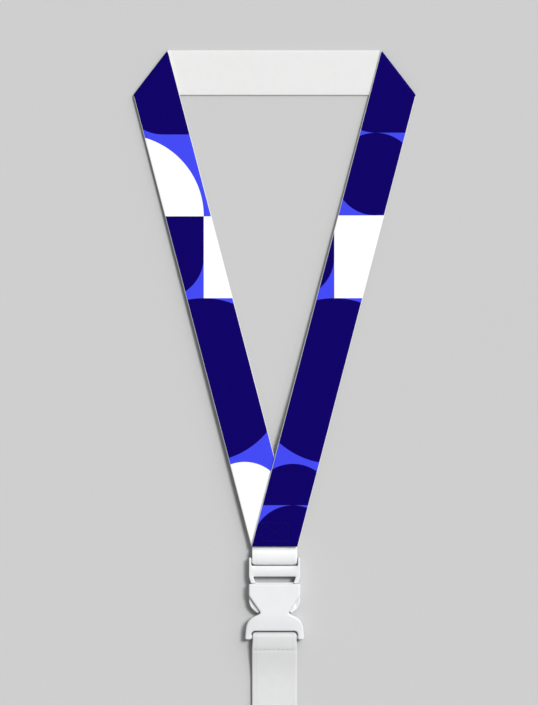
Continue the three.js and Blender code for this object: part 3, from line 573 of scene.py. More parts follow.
def white_webbing(name, dull, bright):
    """The same weave in undyed yarn, between two tones of white, with a groove inside each edge. The weave's
    hollows and the grooves are painted darker, as painted shade.
    """
    finish = Finish(name, Specular_IOR_Level=0.2, Sheen_Weight=0.05, Sheen_Roughness=0.4)
    across, along = finish.parts(finish.uv("webbing"))[:2]
    height = weave(finish, across, along)
    fibre = finish.noise(finish.stretched(finish.uv("webbing"), (9, 1.2, 1)), 1.0, 4.0, 0.6)
    patch = finish.noise(finish.uv("webbing"), 0.2)
    yarn = finish.mixed(patch, (dull, dull, dull, 1), (bright, bright, bright, 1))
    # painted shade: the colour is darkened in the weave's hollows
    shaded = finish.mixed(height, finish.mixed(0.14, yarn, (0, 0, 0, 1)), yarn)
    # the two selvedges are woven closer, with a fine groove just inside each, which is also painted darker
    # in the colour as painted shade
    edge = finish.math("ABSOLUTE", across)
    groove = finish.spread(finish.math("ABSOLUTE", finish.math("SUBTRACT", edge, 10.3)), 0, 0.25, 1, 0)
    colour = finish.mixed(finish.math("MULTIPLY", groove, 0.08), shaded, (0.2, 0.2, 0.2, 1))
    sunk = finish.math("SUBTRACT", height, groove)
    roughness = finish.spread(fibre, 0.3, 0.7, 0.66, 0.84)
    woven = finish.relief(sunk, 0.00006)
    return finish.finished(colour, roughness, finish.relief(fibre, 0.00003, woven))


TAB_LOOP_END = MALE_BAR_Y - BAR_RADIUS - BAR_GAP - WEBBING_THICKNESS


def tab_draw(y):
    """The two corners of the tab's loop."""
    return corner_draw(y - TAB_LOOP_END)


tab_mesh, tab_length = looped_webbing("tab_webbing", tab_path(), tab_draw)
tab = placed("tab_webbing", tab_mesh, white_webbing("tab_white", 0.86, 0.90))
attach(tab, "neck_loop")
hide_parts("buckle_tab")

# ---- sewing of the tab ----
# A box of lock stitches in navy thread through both legs and both ends of the tab. The stitches show
# on the printed face and behind, where the thread lies on the tab's white webbing.

THREAD_RADIUS = 0.00022
BOX_SEAM = (0.015, 0.010)
BOX_SEAM_START = 0.003  # above the level cut
STITCH = 0.0025


def stitches(starts, ends, up=1):
    """Bowed lengths of thread between needle holes. Each is a tube of six sides round a line that
    stands over the cloth on half a sine, and dips into it at both ends. up is -1 behind the cloth."""
    share = np.linspace(0, 1, 8)[None, :, None]
    turn = np.linspace(0, 2 * math.pi, 7)[:-1]
    starts, ends = np.array(starts)[:, None], np.array(ends)[:, None]
    line = starts + (ends - starts) * share
    bow = np.sqrt(np.sin(math.pi * share)) * 2.3 - 1.6
    line[..., 2:] += up * THREAD_RADIUS * bow
    run = ends - starts
    side = np.cross(run / np.linalg.norm(run, axis=-1)[..., None], (0, 0, 1))
    ring = side[:, :, None] * np.cos(turn)[:, None] + np.array((0, 0, 1)) * np.sin(turn)[:, None]
    return line[:, :, None] + THREAD_RADIUS * ring


def seam_run(start, end):
    """Needle holes at even spacing from start to end, both counted: each stitch's start and end."""
    count = max(1, round(math.dist(start, end) / STITCH))
    holes = straight(start, end, count + 1)
    return holes[:-1], holes[1:]


def box_seam():
    """The box's four sides and its two diagonals, measured from the cut: all starts, and all ends."""
    half, low, high = BOX_SEAM[0] / 2, BOX_SEAM_START, BOX_SEAM_START + BOX_SEAM[1]
    corners = [(-half, low), (half, low), (half, high), (-half, high)]
    runs = [seam_run(a, b) for a, b in zip(corners, corners[1:] + corners[:1])]
    runs += [seam_run(corners[0], corners[2]), seam_run(corners[1], corners[3])]
    return (np.concatenate(side) for side in zip(*runs))


def thread(name, colour):
    """Two strands twisted together: stripes at a slant across the thread, painted darker in the grooves
    between the strands as painted shade, and loose fibre on them.
    """
    finish = Finish(name, Specular_IOR_Level=0.08, Sheen_Weight=0.02, Sheen_Roughness=0.3)
    x, y, z = finish.parts(finish.place())
    slant = finish.math("ADD", finish.math("ADD", x, y), finish.math("MULTIPLY", z, 2.0))
    twist = finish.math("SINE", finish.math("MULTIPLY", slant, 2 * math.pi / 0.00035))
    fibre = finish.noise(finish.place(), 9000.0)
    strand_groove_shade = tuple(0.85 * c for c in colour[:3]) + (1,)
    shaded_twist = finish.mixed(finish.spread(twist, -1, 1, 0, 1), strand_groove_shade, colour)
    roughness = finish.spread(fibre, 0, 1, 0.5, 0.75)
    return finish.finished(shaded_twist, roughness, finish.relief(twist, 0.00004))


def sewn_at(holes, height):
    """Needle holes measured from the cut, moved to the strap, at the height given for their y."""
    return np.hstack([holes + (0, CUT_Y), height(holes[:, 1:])])


def box_stitches():
    """The seam twice: on the printed face, and bowed down from the tab's lower ply."""
    starts, ends = box_seam()
    faces = {
        1: lambda y: right_leg_height(y) + WEBBING_THICKNESS,
        -1: lambda y: left_leg_height(y) - 2 * PLY_PITCH,
    }
    return np.concatenate([
        stitches(sewn_at(starts, height), sewn_at(ends, height), up) for up, height in faces.items()
    ])


tab_thread = placed("tab_thread", grid_mesh("tab_thread", box_stitches()), thread("navy_thread", NAVY))
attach(tab_thread, "neck_loop")
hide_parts("tab_stitching")

# ---- buckle, male half ----
# A white acetal moulding: two rails with a round strap bar between them, a flat second bar, a spare
# slot, and the cross piece that goes into the female half with a guide tongue on it. A forked plate
# can't be one grid, so its outline is filled and rounded as a flat curve, and cut in slices.

SLOT_HALF = 0.0129
MALE_HALF = 0.0142
MALE_THICKNESS = 0.0064
MALE_BAR_RADIUS = 0.00115  # a little under the tab's loop, which turns on it
CORE_THICKNESS = 0.0038  # of what slides inside the female half
SECOND_BAR = (-0.00315, -0.0091)  # its edges, and all the lengths below, from the strap bar
SPARE_SLOT_END = -0.0124
SHOULDER = -0.0129  # the rails' lower ends
CROSS_END = -0.0158
CROSS_HALF = 0.0129
TONGUE_HALF = 0.0022
TONGUE_END = -0.0288


def both_sides(right_half):
    """A closed outline from its right half, given from top to bottom, and the same mirrored."""
    right = np.array(right_half)
    return np.concatenate([right, (right * (-1, 1))[::-1]])


def softened(corners, radius, steps=6):
    """A closed outline with each corner turned into a curve that starts and ends a radius from it,
    or nearer where a side is short."""
    corners = np.array(corners, dtype=float)
    before, after = np.roll(corners, 1, axis=0), np.roll(corners, -1, axis=0)

    def towards(other):
        """Where the curve starts on the side from a corner to another one."""
        way = other - corners
        length = np.linalg.norm(way, axis=1)[:, None]
        return corners + way / length * np.minimum(radius, 0.45 * length)

    t = np.linspace(0, 1, steps)[None, :, None]
    first, last = towards(before)[:, None], towards(after)[:, None]
    curve = first * (1 - t) ** 2 + corners[:, None] * (2 * t * (1 - t)) + last * t * t
    return curve.reshape(-1, 2)


def moulded(name, outline, thickness, rounding, slice_width=0.001):
    """A plate about z = 0, filled in from its outline, with every edge rounded by the same radius.
    Slices along x and y give its faces points to be shaped by."""
    flat = bpy.data.curves.new(name, "CURVE")
    flat.dimensions = "2D"
    flat.fill_mode = "BOTH"
    flat.extrude = thickness / 2 - rounding
    flat.bevel_depth = rounding
    flat.bevel_resolution = 4
    flat.offset = -rounding
    spline = flat.splines.new("POLY")
    spline.points.add(len(outline) - 1)
    spline.points.foreach_set("co", np.insert(outline, [2, 2], (0, 1), axis=1).ravel())
    spline.use_cyclic_u = True
    holder = bpy.data.objects.new(name, flat)
    mesh = bpy.data.meshes.new_from_object(holder)
    bpy.data.objects.remove(holder)
    shape = bmesh.new()
    shape.from_mesh(mesh)
    bmesh.ops.remove_doubles(shape, verts=shape.verts, dist=1e-6)
    low, high = outline.min(axis=0), outline.max(axis=0)
    for axis in (0, 1):
        normal = np.eye(3)[axis]
        for place in np.arange(low[axis] + slice_width, high[axis] - slice_width / 2, slice_width):
            everything = shape.verts[:] + shape.edges[:] + shape.faces[:]
            bmesh.ops.bisect_plane(
                shape, geom=everything, dist=1e-6, plane_co=normal * place, plane_no=normal,
            )
    shape.to_mesh(mesh)
    shape.free()
    face_outwards(mesh)
    return mesh


def reshaped(mesh, change):
    """Moves all of a mesh's points at once: change takes their x, y and z and returns new ones."""
    flat = np.empty(len(mesh.vertices) * 3, dtype=np.float32)
    mesh.vertices.foreach_get("co", flat)
    x, y, z = flat.reshape(-1, 3).T.astype(float)
    mesh.vertices.foreach_set("co", np.stack(change(x, y, z), axis=-1).astype(np.float32).ravel())
    mesh.update()
    return mesh


def moved(mesh, x, y, z):
    """Shifts a mesh by these distances."""
    return reshaped(mesh, lambda px, py, pz: (px + x, py + y, pz + z))


def one_mesh(name, parts):
    """Closed shapes that are let into each other, as one mesh."""
    whole = bpy.data.meshes.new(name)
    shape = bmesh.new()
    for part in parts:
        shape.from_mesh(part)
    shape.to_mesh(whole)
    shape.free()
    whole.shade_smooth()
    return whole


def rod(path, across, deep=None, sides=24):
    """A rod along a path in the xy plane, as rings of an ellipse: across it in the plane, and deep in
    z. Either can be one half size, or one for each point of the path."""
    deep = across if deep is None else deep
    run = np.gradient(path, axis=0)
    run /= np.linalg.norm(run, axis=1)[:, None]
    turn = np.linspace(0, 2 * math.pi, sides + 1)[:-1]
    wide = np.broadcast_to(across, len(path))[:, None] * np.cos(turn)
    x = path[:, :1] - run[:, 1:] * wide
    y = path[:, 1:] + run[:, :1] * wide
    z = np.broadcast_to(deep, len(path))[:, None] * np.sin(turn)
    return np.stack([x, y, z], axis=-1)


def strap_bar(name, half_length, radius):
    """A round bar along x, centred on the origin."""
    path = straight((-half_length, 0), (half_length, 0), 16)
    return grid_mesh(name, rod(path, radius))


def male_moulding():
    """The rails and the second bar from one outline, the bar crowned so that it is highest along its
    middle. The strap bar and the cross piece with its tongue are let into them, and the sunk edge of
    the cross piece ends the spare slot."""
    rim = both_sides([
        (SLOT_HALF, 0.0014), (MALE_HALF, 0.0014), (MALE_HALF, SECOND_BAR[1]), (MALE_HALF - 0.0011, SHOULDER),
        (SLOT_HALF - 0.0025, SHOULDER), (SLOT_HALF - 0.001, SECOND_BAR[1]),
    ])
    rim = np.concatenate([rim, [(-SLOT_HALF, SECOND_BAR[0]), (SLOT_HALF, SECOND_BAR[0])]])
    frame_mesh = moulded("rails", softened(rim, 0.0008), MALE_THICKNESS, 0.0004)
    middle = sum(SECOND_BAR) / 2
    half = (SECOND_BAR[0] - SECOND_BAR[1]) / 2

    def crown(x, y, z):
        """Thins the second bar with the square of the distance from its middle line."""
        inside = np.clip((SLOT_HALF - np.abs(x)) / 0.002, 0, 1)
        low = np.clip(np.abs(y - middle) / half, 0, 1) ** 2
        return x, y, z * (1 - 0.16 * low * inside * (y > SECOND_BAR[1] - 0.0004))

    core = both_sides([
        (CROSS_HALF, SPARE_SLOT_END), (CROSS_HALF, CROSS_END), (TONGUE_HALF, CROSS_END),
        (TONGUE_HALF, TONGUE_END + 0.001), (TONGUE_HALF - 0.001, TONGUE_END),
    ])
    core_mesh = moulded("core", softened(core, 0.0005), CORE_THICKNESS, 0.0004)
    bar = strap_bar("bar", MALE_HALF - 0.0005, MALE_BAR_RADIUS)
    whole = one_mesh("male_moulding", [reshaped(frame_mesh, crown), core_mesh, bar])
    return moved(whole, 0, MALE_BAR_Y, BAR_HEIGHT)


def white_plastic():
    """Satin moulded plastic: a fine spark-eroded grain, faint clouding from the flow of the melt, and
    the mould's parting line as a thin raised line at half thickness."""
    finish = Finish("white_plastic", Specular_IOR_Level=0.45)
    grain = finish.noise(finish.place(), 2600.0, 2.0)
    cloud = finish.noise(finish.place(), 140.0)
    colour = finish.mixed(cloud, (0.685, 0.69, 0.70, 1), (0.725, 0.73, 0.735, 1))
    roughness = finish.spread(grain, 0.3, 0.7, 0.36, 0.50)
    height = finish.parts(finish.place())[2]
    from_middle = finish.math("ABSOLUTE", finish.math("SUBTRACT", height, BAR_HEIGHT))
    parting = finish.spread(from_middle, 0, 0.0001, 1, 0)
    ridge = finish.relief(parting, 0.00005)
    return finish.finished(colour, roughness, finish.relief(grain, 0.000012, ridge))


def keep_faces_flat(piece):
    """Large faces keep their own direction, and only the rounded edges between them turn."""
    flat = piece.modifiers.new("flat_faces", "WEIGHTED_NORMAL")
    flat.keep_sharp = True


WHITE_PLASTIC = white_plastic()
male = placed("male_moulding", male_moulding(), WHITE_PLASTIC)
keep_faces_flat(male)
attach(male, "buckle_male")
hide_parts("male_frame")

# ---- buckle, spring prongs ----
# Each prong is a springy arm on the cross piece with a lobe that snaps out of the female half's side
# opening. A finger squeezes the lobe in, and a shallow thumb rest is sunk in its face.

PRONG_X = 0.0088
PRONG_ROOT = -0.0174  # below the strap bar
LOBE_REACH = 0.0054
LOBE_TOP = -0.0025
LOBE_END = -0.0119


def prong_outline():
    """The arm widens from its root to the lobe, and the lobe's side curves in to a narrow tip."""
    root = arc((0, 0), 0.0013, math.pi, 0, 10)
    side = bezier((LOBE_REACH, LOBE_TOP - 0.0026), (LOBE_REACH, LOBE_TOP - 0.0059),
                  (LOBE_REACH - 0.0026, LOBE_END + 0.0012), (0.0008, LOBE_END), 14)
    shoulder = bezier((0.0023, LOBE_TOP), (LOBE_REACH - 0.0005, LOBE_TOP), (LOBE_REACH, LOBE_TOP - 0.0003),
                      (LOBE_REACH, LOBE_TOP - 0.0013), 8)
    tip = bezier((0.0008, LOBE_END), (0.0002, LOBE_END - 0.0001), (-0.00065, LOBE_END + 0.0003),
                 (-0.00065, LOBE_END + 0.0014), 6)
    return run_on(root, shoulder, side, tip[1:], [(0.0004, LOBE_TOP - 0.003)])


def thumb_rest(x, y, z):
    """Sinks a long oval hollow into both faces of the lobe, deepest at its middle."""
    away = ((x - 0.0031) / 0.0014) ** 2 + ((y - LOBE_TOP + 0.0042) / 0.0030) ** 2
    return x, y, z * (1 - 0.16 * np.clip(1 - away, 0, 1))


def prong_moulding(name, side):
    """The right prong's plate with its thumb rest, put on the cross piece, and mirrored for the left."""
    arm = reshaped(moulded(name, prong_outline(), CORE_THICKNESS, 0.0006, 0.0005), thumb_rest)
    moved(arm, PRONG_X, MALE_BAR_Y + PRONG_ROOT, BAR_HEIGHT)
    reshaped(arm, lambda x, y, z: (side * x, y, z))
    face_outwards(arm)
    return arm


for name, side in (("left", -1), ("right", 1)):
    prong = placed(f"prong_{name}_moulding", prong_moulding(f"prong_{name}_moulding", side), WHITE_PLASTIC)
    keep_faces_flat(prong)
    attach(prong, f"prong_{name}")
    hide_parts(f"prong_{name}")

# ---- buckle, female half ----
# A hollow white moulding. Its front and back plates narrow to a waist between the two side openings
# for the prongs, and flare again into two legs that carry the bar for the short strap.

FEMALE_HALF = 0.0143
FEMALE_THICKNESS = 0.008
MOUTH_EDGE = -0.0131
RING_END = -0.0196
WAIST = -0.0288
WAIST_HALF = 0.008
CAVITY_END = -0.0304
WINDOW_TOP = -0.0392
LOWER_BAR = -0.0426
FEMALE_END = -0.0440
LEG_OUTER = 0.0163
MOUTH_HALF = 0.0132
MOUTH_HEIGHT = 0.0044
WINDOW_CORNER = 0.0021
LEG_END_THICKNESS = 0.0056
EDGE_ROUNDING = 0.0009


def turned_corner(x, y, from_x, from_y, to_x, to_y):
    """A rounded corner at x, y, given by the ways back along its first side and on along its next."""
    size = EDGE_ROUNDING + 0.0001
    corner = np.array((x, y))
    before = size * np.array((from_x, from_y))
    after = size * np.array((to_x, to_y))
    return bezier(corner + before, corner + 0.4 * before, corner + 0.4 * after, corner + after, 7)


def female_outline():
    """From the mouth straight down, in to the waist on a line, and out to the legs on a curve. The
    window for the strap opens between the legs, with a rounded corner at each side."""
    right = run_on(
        turned_corner(FEMALE_HALF, MOUTH_EDGE, -1, 0, 0, -1),
        bezier((FEMALE_HALF, RING_END + 0.0008), (FEMALE_HALF, RING_END),
               (FEMALE_HALF - 0.0001, RING_END - 0.0001), (FEMALE_HALF - 0.0006, RING_END - 0.0009), 7),
        bezier((WAIST_HALF + 0.0003, WAIST + 0.0005), (WAIST_HALF - 0.0002, WAIST - 0.0003),
               (WAIST_HALF, WAIST - 0.0008), (WAIST_HALF + 0.0012, WAIST - 0.0014), 8),
        bezier((WAIST_HALF + 0.0012, WAIST - 0.0014), (LEG_OUTER - 0.0030, WAIST - 0.0031),
               (LEG_OUTER - 0.0007, WAIST - 0.0049), (LEG_OUTER - 0.0003, WAIST - 0.0100), 14),
        turned_corner(LEG_OUTER, FEMALE_END, 0, 1, -1, 0),
        turned_corner(SLOT_HALF, FEMALE_END, 1, 0, 0, 1),
        arc((SLOT_HALF - WINDOW_CORNER, WINDOW_TOP - WINDOW_CORNER), WINDOW_CORNER, 0, math.pi / 2, 8),
    )
    return both_sides(right)


def hollowed(mesh, hollows):
    """A mesh with boxes cut out of it. Each is given by its lowest and highest corner."""
    body = bpy.data.objects.new("body", mesh)
    bpy.context.scene.collection.objects.link(body)
    tools = []
    for low, high in hollows:
        low, high = np.array(low), np.array(high)
        corner = np.array([(0, 0), (1, 0), (1, 1), (0, 1)])
        rings = np.stack([np.pad(corner, ((0, 0), (0, 1)), constant_values=end) for end in (0, 1)])
        tool = bpy.data.objects.new("hollow", grid_mesh("hollow", low + rings * (high - low)))
        bpy.context.scene.collection.objects.link(tool)
        cut = body.modifiers.new("cut", "BOOLEAN")
        cut.object = tool
        cut.operation = "DIFFERENCE"
        cut.solver = "EXACT"
        tools.append(tool)
    finished = bpy.data.meshes.new_from_object(body.evaluated_get(bpy.context.evaluated_depsgraph_get()))
    for used in [body, *tools]:
        bpy.data.objects.remove(used)
    finished.shade_smooth()
    return finished


def female_moulding():
    """One rounded plate as thick as the buckle, hollowed from the mouth to past the waist. From there
    it thins on a smooth step to the legs' ends, and to both sides with the square of the distance."""
    block = moulded("female_moulding", female_outline(), FEMALE_THICKNESS, EDGE_ROUNDING)

    def thinned(x, y, z):
        """Scales the thickness by both falls."""
        past = np.clip((CAVITY_END - y) / (CAVITY_END - FEMALE_END), 0, 1)
        aside = np.clip((np.abs(x) - WAIST_HALF) / (LEG_OUTER - WAIST_HALF), 0, 1)
        share = LEG_END_THICKNESS / FEMALE_THICKNESS
        fall = past * past * (3 - 2 * past)
        return x, y, z * (1 - (1 - share) * fall) * (1 - 0.10 * aside ** 2 * (y < WAIST))

    half = MOUTH_HEIGHT / 2
    mouth = ((-MOUTH_HALF, RING_END - 0.001, -half), (MOUTH_HALF, MOUTH_EDGE + 0.002, half))
    sides = ((-0.02, CAVITY_END, -half), (0.02, RING_END, half))
    shell = hollowed(reshaped(block, thinned), [mouth, sides])
    bar = moved(strap_bar("lower_bar", SLOT_HALF + 0.0017, BAR_RADIUS), 0, LOWER_BAR, 0)
    return moved(one_mesh("female_moulding", [shell, bar]), 0, MALE_BAR_Y, BAR_HEIGHT)


female_mesh = female_moulding()
female_mesh.set_sharp_from_angle(angle=math.radians(50))
female = placed("female_moulding", female_mesh, WHITE_PLASTIC)
keep_faces_flat(female)
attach(female, "buckle_female")
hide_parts("female_body")

# ---- short strap ----
# One length of the same plain webbing, turned back round the buckle's lower bar and round the bar of
# the hook's eye. Each end is sewn down behind, and the loops' corners are drawn in.

LOWER_BAR_Y = MALE_BAR_Y + LOWER_BAR
EYE_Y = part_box("hook_eye")[1][1] - 0.0015
EYE_BAR_RADIUS = 0.0015
TOP_CREST = BAR_HEIGHT + BAR_RADIUS + BAR_GAP + WEBBING_THICKNESS / 2
LOW_CREST = BAR_HEIGHT + EYE_BAR_RADIUS + BAR_GAP + WEBBING_THICKNESS / 2
TOP_FALL = 0.030
LOW_FALL = 0.024
STRAP_LOW = 0.0022
FOLD_BACK = 0.009
SEAM_SETBACK = 0.002
SEAM_DENT = 0.0002  # how deep the sewing pulls the webbing in
SEAM_DENT_WIDTH = 0.0008


def short_strap_front(y):
    """Middle of the front ply, y being measured from the buckle's bar. From the crest over each bar
    it falls to the low stretch between them, steepest a third of the way down, and dips a little at
    each row of sewing."""
    height = STRAP_LOW
    for bar, crest, fall in ((0, TOP_CREST, TOP_FALL), (EYE_Y - LOWER_BAR_Y, LOW_CREST, LOW_FALL)):
        share = np.clip(1 - np.abs(y - bar) / fall, 0, 1)
        height = height + (crest - STRAP_LOW) * share ** 3 * (4 - 3 * share)
    seam = FOLD_BACK - SEAM_SETBACK
    for row in (-seam, EYE_Y - LOWER_BAR_Y + seam):
        height = height - SEAM_DENT * np.exp(-((y - row) / SEAM_DENT_WIDTH) ** 2)
    return height


def short_strap_path():
    """From the upper turned-back end, round the buckle's bar, along the front, round the eye's bar
    and back to the lower turned-back end. Both plies lie together from the sewing on."""
    end = EYE_Y - LOWER_BAR_Y
    seam = FOLD_BACK - SEAM_SETBACK
    y = straight((0,), (end,), 150)
    front = np.hstack([y, short_strap_front(y)])
    upper_end = straight((-FOLD_BACK,), (-seam + 0.001,), 8)
    lower_end = straight((end + seam - 0.001,), (end + FOLD_BACK,), 8)
    upper_end = np.hstack([upper_end, short_strap_front(upper_end) - PLY_PITCH])
    lower_end = np.hstack([lower_end, short_strap_front(lower_end) - PLY_PITCH])
    under_top, under_low = 2 * BAR_HEIGHT - TOP_CREST, 2 * BAR_HEIGHT - LOW_CREST
    path = run_on(
        upper_end,
        bezier(upper_end[-1], upper_end[-1] + (0.0018, 0.0004), (-0.0026, under_top), (0, under_top)),
        arc((0, BAR_HEIGHT), TOP_CREST - BAR_HEIGHT, -math.pi / 2, math.pi / 2),
        front,
        arc((end, BAR_HEIGHT), LOW_CREST - BAR_HEIGHT, math.pi / 2, 1.5 * math.pi),
        bezier((end, under_low), (end + 0.0026, under_low), lower_end[0] + (-0.0018, 0.0004), lower_end[0]),
        lower_end,
    )
    return path + (LOWER_BAR_Y, 0)


def short_strap_draw(y):
    """Both loops' corners, and a slight narrowing all round the buckle's bar."""
    wrap = BAR_GAP + WEBBING_THICKNESS
    waist = 0.0004 * np.exp(-((y - LOWER_BAR_Y) / 0.004) ** 2)
    upper_corner = corner_draw(LOWER_BAR_Y + BAR_RADIUS + wrap - y)
    lower_corner = corner_draw(y - EYE_Y + EYE_BAR_RADIUS + wrap)
    return waist + upper_corner + lower_corner


strap_mesh, strap_length = looped_webbing("short_webbing", short_strap_path(), short_strap_draw)
# painted shade: this is the tab's white webbing made greyer, standing in for the shade the strap lies in
short_strap = placed("short_webbing", strap_mesh, white_webbing("strap_white_painted_shade", 0.66, 0.71))
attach(short_strap, "short_strap")
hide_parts("lower_strap")

# ---- rows of sewing on the short strap ----
# One row of white lock stitches across each end, through both plies.

ROW_HALF = 0.0115
# painted shade: the thread is greyed to the strap's darkened tone, so the rows read as dark lines
WHITE_THREAD = thread("white_thread", (0.68, 0.68, 0.67, 1))
ROWS = {
    "upper": LOWER_BAR_Y - FOLD_BACK + SEAM_SETBACK,
    "lower": EYE_Y + FOLD_BACK - SEAM_SETBACK,
}


def row_stitches(y):
    """The row twice: on the front ply, and bowed down from the turned-back one."""
    starts, ends = seam_run((-ROW_HALF, y), (ROW_HALF, y))
    middle = short_strap_front(y - LOWER_BAR_Y)
    tubes = []
    for z, up in ((middle + WEBBING_THICKNESS / 2, 1), (middle - PLY_PITCH - WEBBING_THICKNESS / 2, -1)):
        height = np.full((len(starts), 1), z)
        tubes.append(stitches(np.hstack([starts, height]), np.hstack([ends, height]), up))
    return np.concatenate(tubes)


for name, y in ROWS.items():
    row = placed(f"{name}_row_thread", grid_mesh(f"{name}_row_thread", row_stitches(y)), WHITE_THREAD)
    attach(row, "short_strap")
    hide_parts(f"{name}_seam")

# ---- swivel eye ----
# A die-cast zinc loop, nickel plated: a round bar for the strap, two shoulders that come together, and
# a boss bored for the rivet.

EYE_HALF = 0.0144
EYE_SHOULDER = (-0.0102, -0.0057)
EYE_NECK_HALF = 0.0034  # where the shoulders meet the boss
EYE_BEND = 0.0011  # radius of the bends at the bar's ends
BOSS_TOP = -0.0058
BOSS_END = -0.0118
BOSS_RADIUS = 0.004
BORE_RADIUS = 0.0023


def turned_piece(profile, sides=40):
    """A profile of radius and y turned about the y axis. A profile that comes back to its start is a
    tube, and otherwise its ends lie on the axis."""
    profile = np.array(profile)
    turn = np.linspace(0, 2 * math.pi, sides + 1)[:-1]
    x = profile[:, :1] * np.cos(turn)
    z = profile[:, :1] * np.sin(turn)
    y = np.broadcast_to(profile[:, 1:], x.shape)
    return np.stack([x, y, z], axis=-1)


def eased(profile, ease=0.0003):
    """A closed profile with its corners slightly rounded."""
    return softened(profile, ease, 4)


def plated_metal():
    """Bright nickel over a die casting: slight waviness from the polishing, hair scratches, and a
    duller bloom in patches."""
    finish = Finish("plated_metal", Metallic=1.0)
    wave = finish.noise(finish.place(), 260.0, 2.0)
    scratch = finish.noise(finish.stretched(finish.place(), (1, 14, 6)), 700.0, 4.0, 0.7)
    bloom = finish.noise(finish.place(), 90.0)
    colour = finish.mixed(bloom, (0.70, 0.70, 0.69, 1), (0.80, 0.79, 0.77, 1))
    roughness = finish.spread(scratch, 0.35, 0.7, 0.18, 0.34)
    wavy = finish.relief(wave, 0.00004, strength=0.5)
    return finish.finished(colour, roughness, finish.relief(scratch, 0.000003, wavy))


PLATED_METAL = plated_metal()


def eye_casting():
    """A rod carried round the loop, up from the boss over the left shoulder, along the bar and down
    the right one, and the bored boss turned from its profile."""
    shoulders = run_on(
        straight((-EYE_NECK_HALF, BOSS_END + 0.0027), EYE_SHOULDER, 8),
        bezier(EYE_SHOULDER, (-EYE_HALF, -0.0036), (-EYE_HALF, -0.0036), (-EYE_HALF, -0.0016), 10),
        bezier((-EYE_HALF, -EYE_BEND), (-EYE_HALF, -0.0003),
               (-EYE_HALF + 0.0003, 0), (-EYE_HALF + EYE_BEND, 0), 10),
        straight((-EYE_HALF + EYE_BEND, 0), (0, 0), 10),
    )
    path = np.concatenate([shoulders, (shoulders * (-1, 1))[-2::-1]])
    loop = grid_mesh("loop", rod(path, EYE_BAR_RADIUS))
    boss = eased([
        (BORE_RADIUS, BOSS_TOP), (BOSS_RADIUS, BOSS_TOP), (BOSS_RADIUS, BOSS_END), (BORE_RADIUS, BOSS_END),
    ])
    boss_mesh = grid_mesh("boss", turned_piece(boss), closed=True)
    return moved(one_mesh("eye_casting", [loop, boss_mesh]), 0, EYE_Y, BAR_HEIGHT)


eye = placed("eye_casting", eye_casting(), PLATED_METAL)
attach(eye, "swivel_eye")
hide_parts("hook_eye")

# ---- swivel rivet ----
# A plated steel rivet with a domed head inside the eye. Its shaft runs through the boss and is closed
# into the hook's barrel, so the hook turns with it.

RIVET_TOP = -0.0039
RIVET_END = -0.0161


def rivet_profile():
    """Radius and y from the top of the dome, round under the head and down the shaft to its end."""
    dome = bezier((0.00002, RIVET_TOP), (0.0018, RIVET_TOP), (0.0031, RIVET_TOP - 0.0004),
                  (0.0032, RIVET_TOP - 0.0012), 12)
    shaft = [(0.0031, RIVET_TOP - 0.0016), (0.0021, RIVET_TOP - 0.0016), (0.002, RIVET_TOP - 0.0018),
             (0.002, RIVET_END + 0.0003), (0.0017, RIVET_END), (0.00002, RIVET_END)]
    return np.concatenate([dome, shaft])


rivet = placed("rivet", grid_mesh("rivet", turned_piece(rivet_profile())), PLATED_METAL)
moved(rivet.data, 0, EYE_Y, BAR_HEIGHT)
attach(rivet, "hook")
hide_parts("swivel_rivet")

# ---- hook ----
# The hook is one plated casting: a barrel, and a claw bent from a heavy rod that runs round from the
# fork for the gate's pin, down the right and up to a thinner nose on the left.

BARREL_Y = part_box("hook_body")[1][1]
BARREL_RADIUS = 0.004
BARREL_LENGTH = 0.009
CLAW_RADIUS = 0.00825
CLAW_TOP = -0.017
CLAW_LOW = -0.023
CLAW_HALF_WIDE = 0.00225
CLAW_HALF_DEEP = 0.003
NOSE_ROUNDING = 0.0018
NOSE_TAPER = 0.012  # length over which the nose thins by a twentieth
ROOT_ROUNDING = 0.0008
PIVOT_ANGLE = math.radians(40)
EAR_THICKNESS = 0.0012
HUB_RADIUS = 0.0023
PIN_RADIUS = 0.0008
PIN_LOW, PIN_HIGH = (np.array(corner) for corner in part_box("gate_pin"))
PIVOT = (PIN_LOW + PIN_HIGH) / 2


def claw_casting():
    """An ellipse carried along the claw's middle line: round the top bend from the fork, down the
    right side, and round the lower bend up to the nose, where it narrows to a rounded end."""
    fork = math.pi - PIVOT_ANGLE - 0.44
    path = run_on(
        arc((0, CLAW_TOP), CLAW_RADIUS, fork, 0, 36),
        straight((CLAW_RADIUS, CLAW_TOP), (CLAW_RADIUS, CLAW_LOW), 8),
        arc((0, CLAW_LOW), CLAW_RADIUS, 0, -math.pi, 44),
        straight((-CLAW_RADIUS, CLAW_LOW), (-CLAW_RADIUS, CLAW_LOW + 0.0015), 8),
    )
    from_end = np.linalg.norm(path - path[-1], axis=1)
    from_fork = np.linalg.norm(path - path[0], axis=1)
    nose = np.sqrt(np.clip(1 - np.clip(1 - from_end / NOSE_ROUNDING, 0, 1) ** 2, 0.01, 1))
    root = np.sqrt(np.clip(1 - np.clip(1 - from_fork / ROOT_ROUNDING, 0, 1) ** 2, 0.5, 1))
    slim = 1 - 0.05 * np.clip(1 - from_end / NOSE_TAPER, 0, 1)
    return rod(path, CLAW_HALF_WIDE * nose * slim * root, CLAW_HALF_DEEP * nose * slim * root, 32)


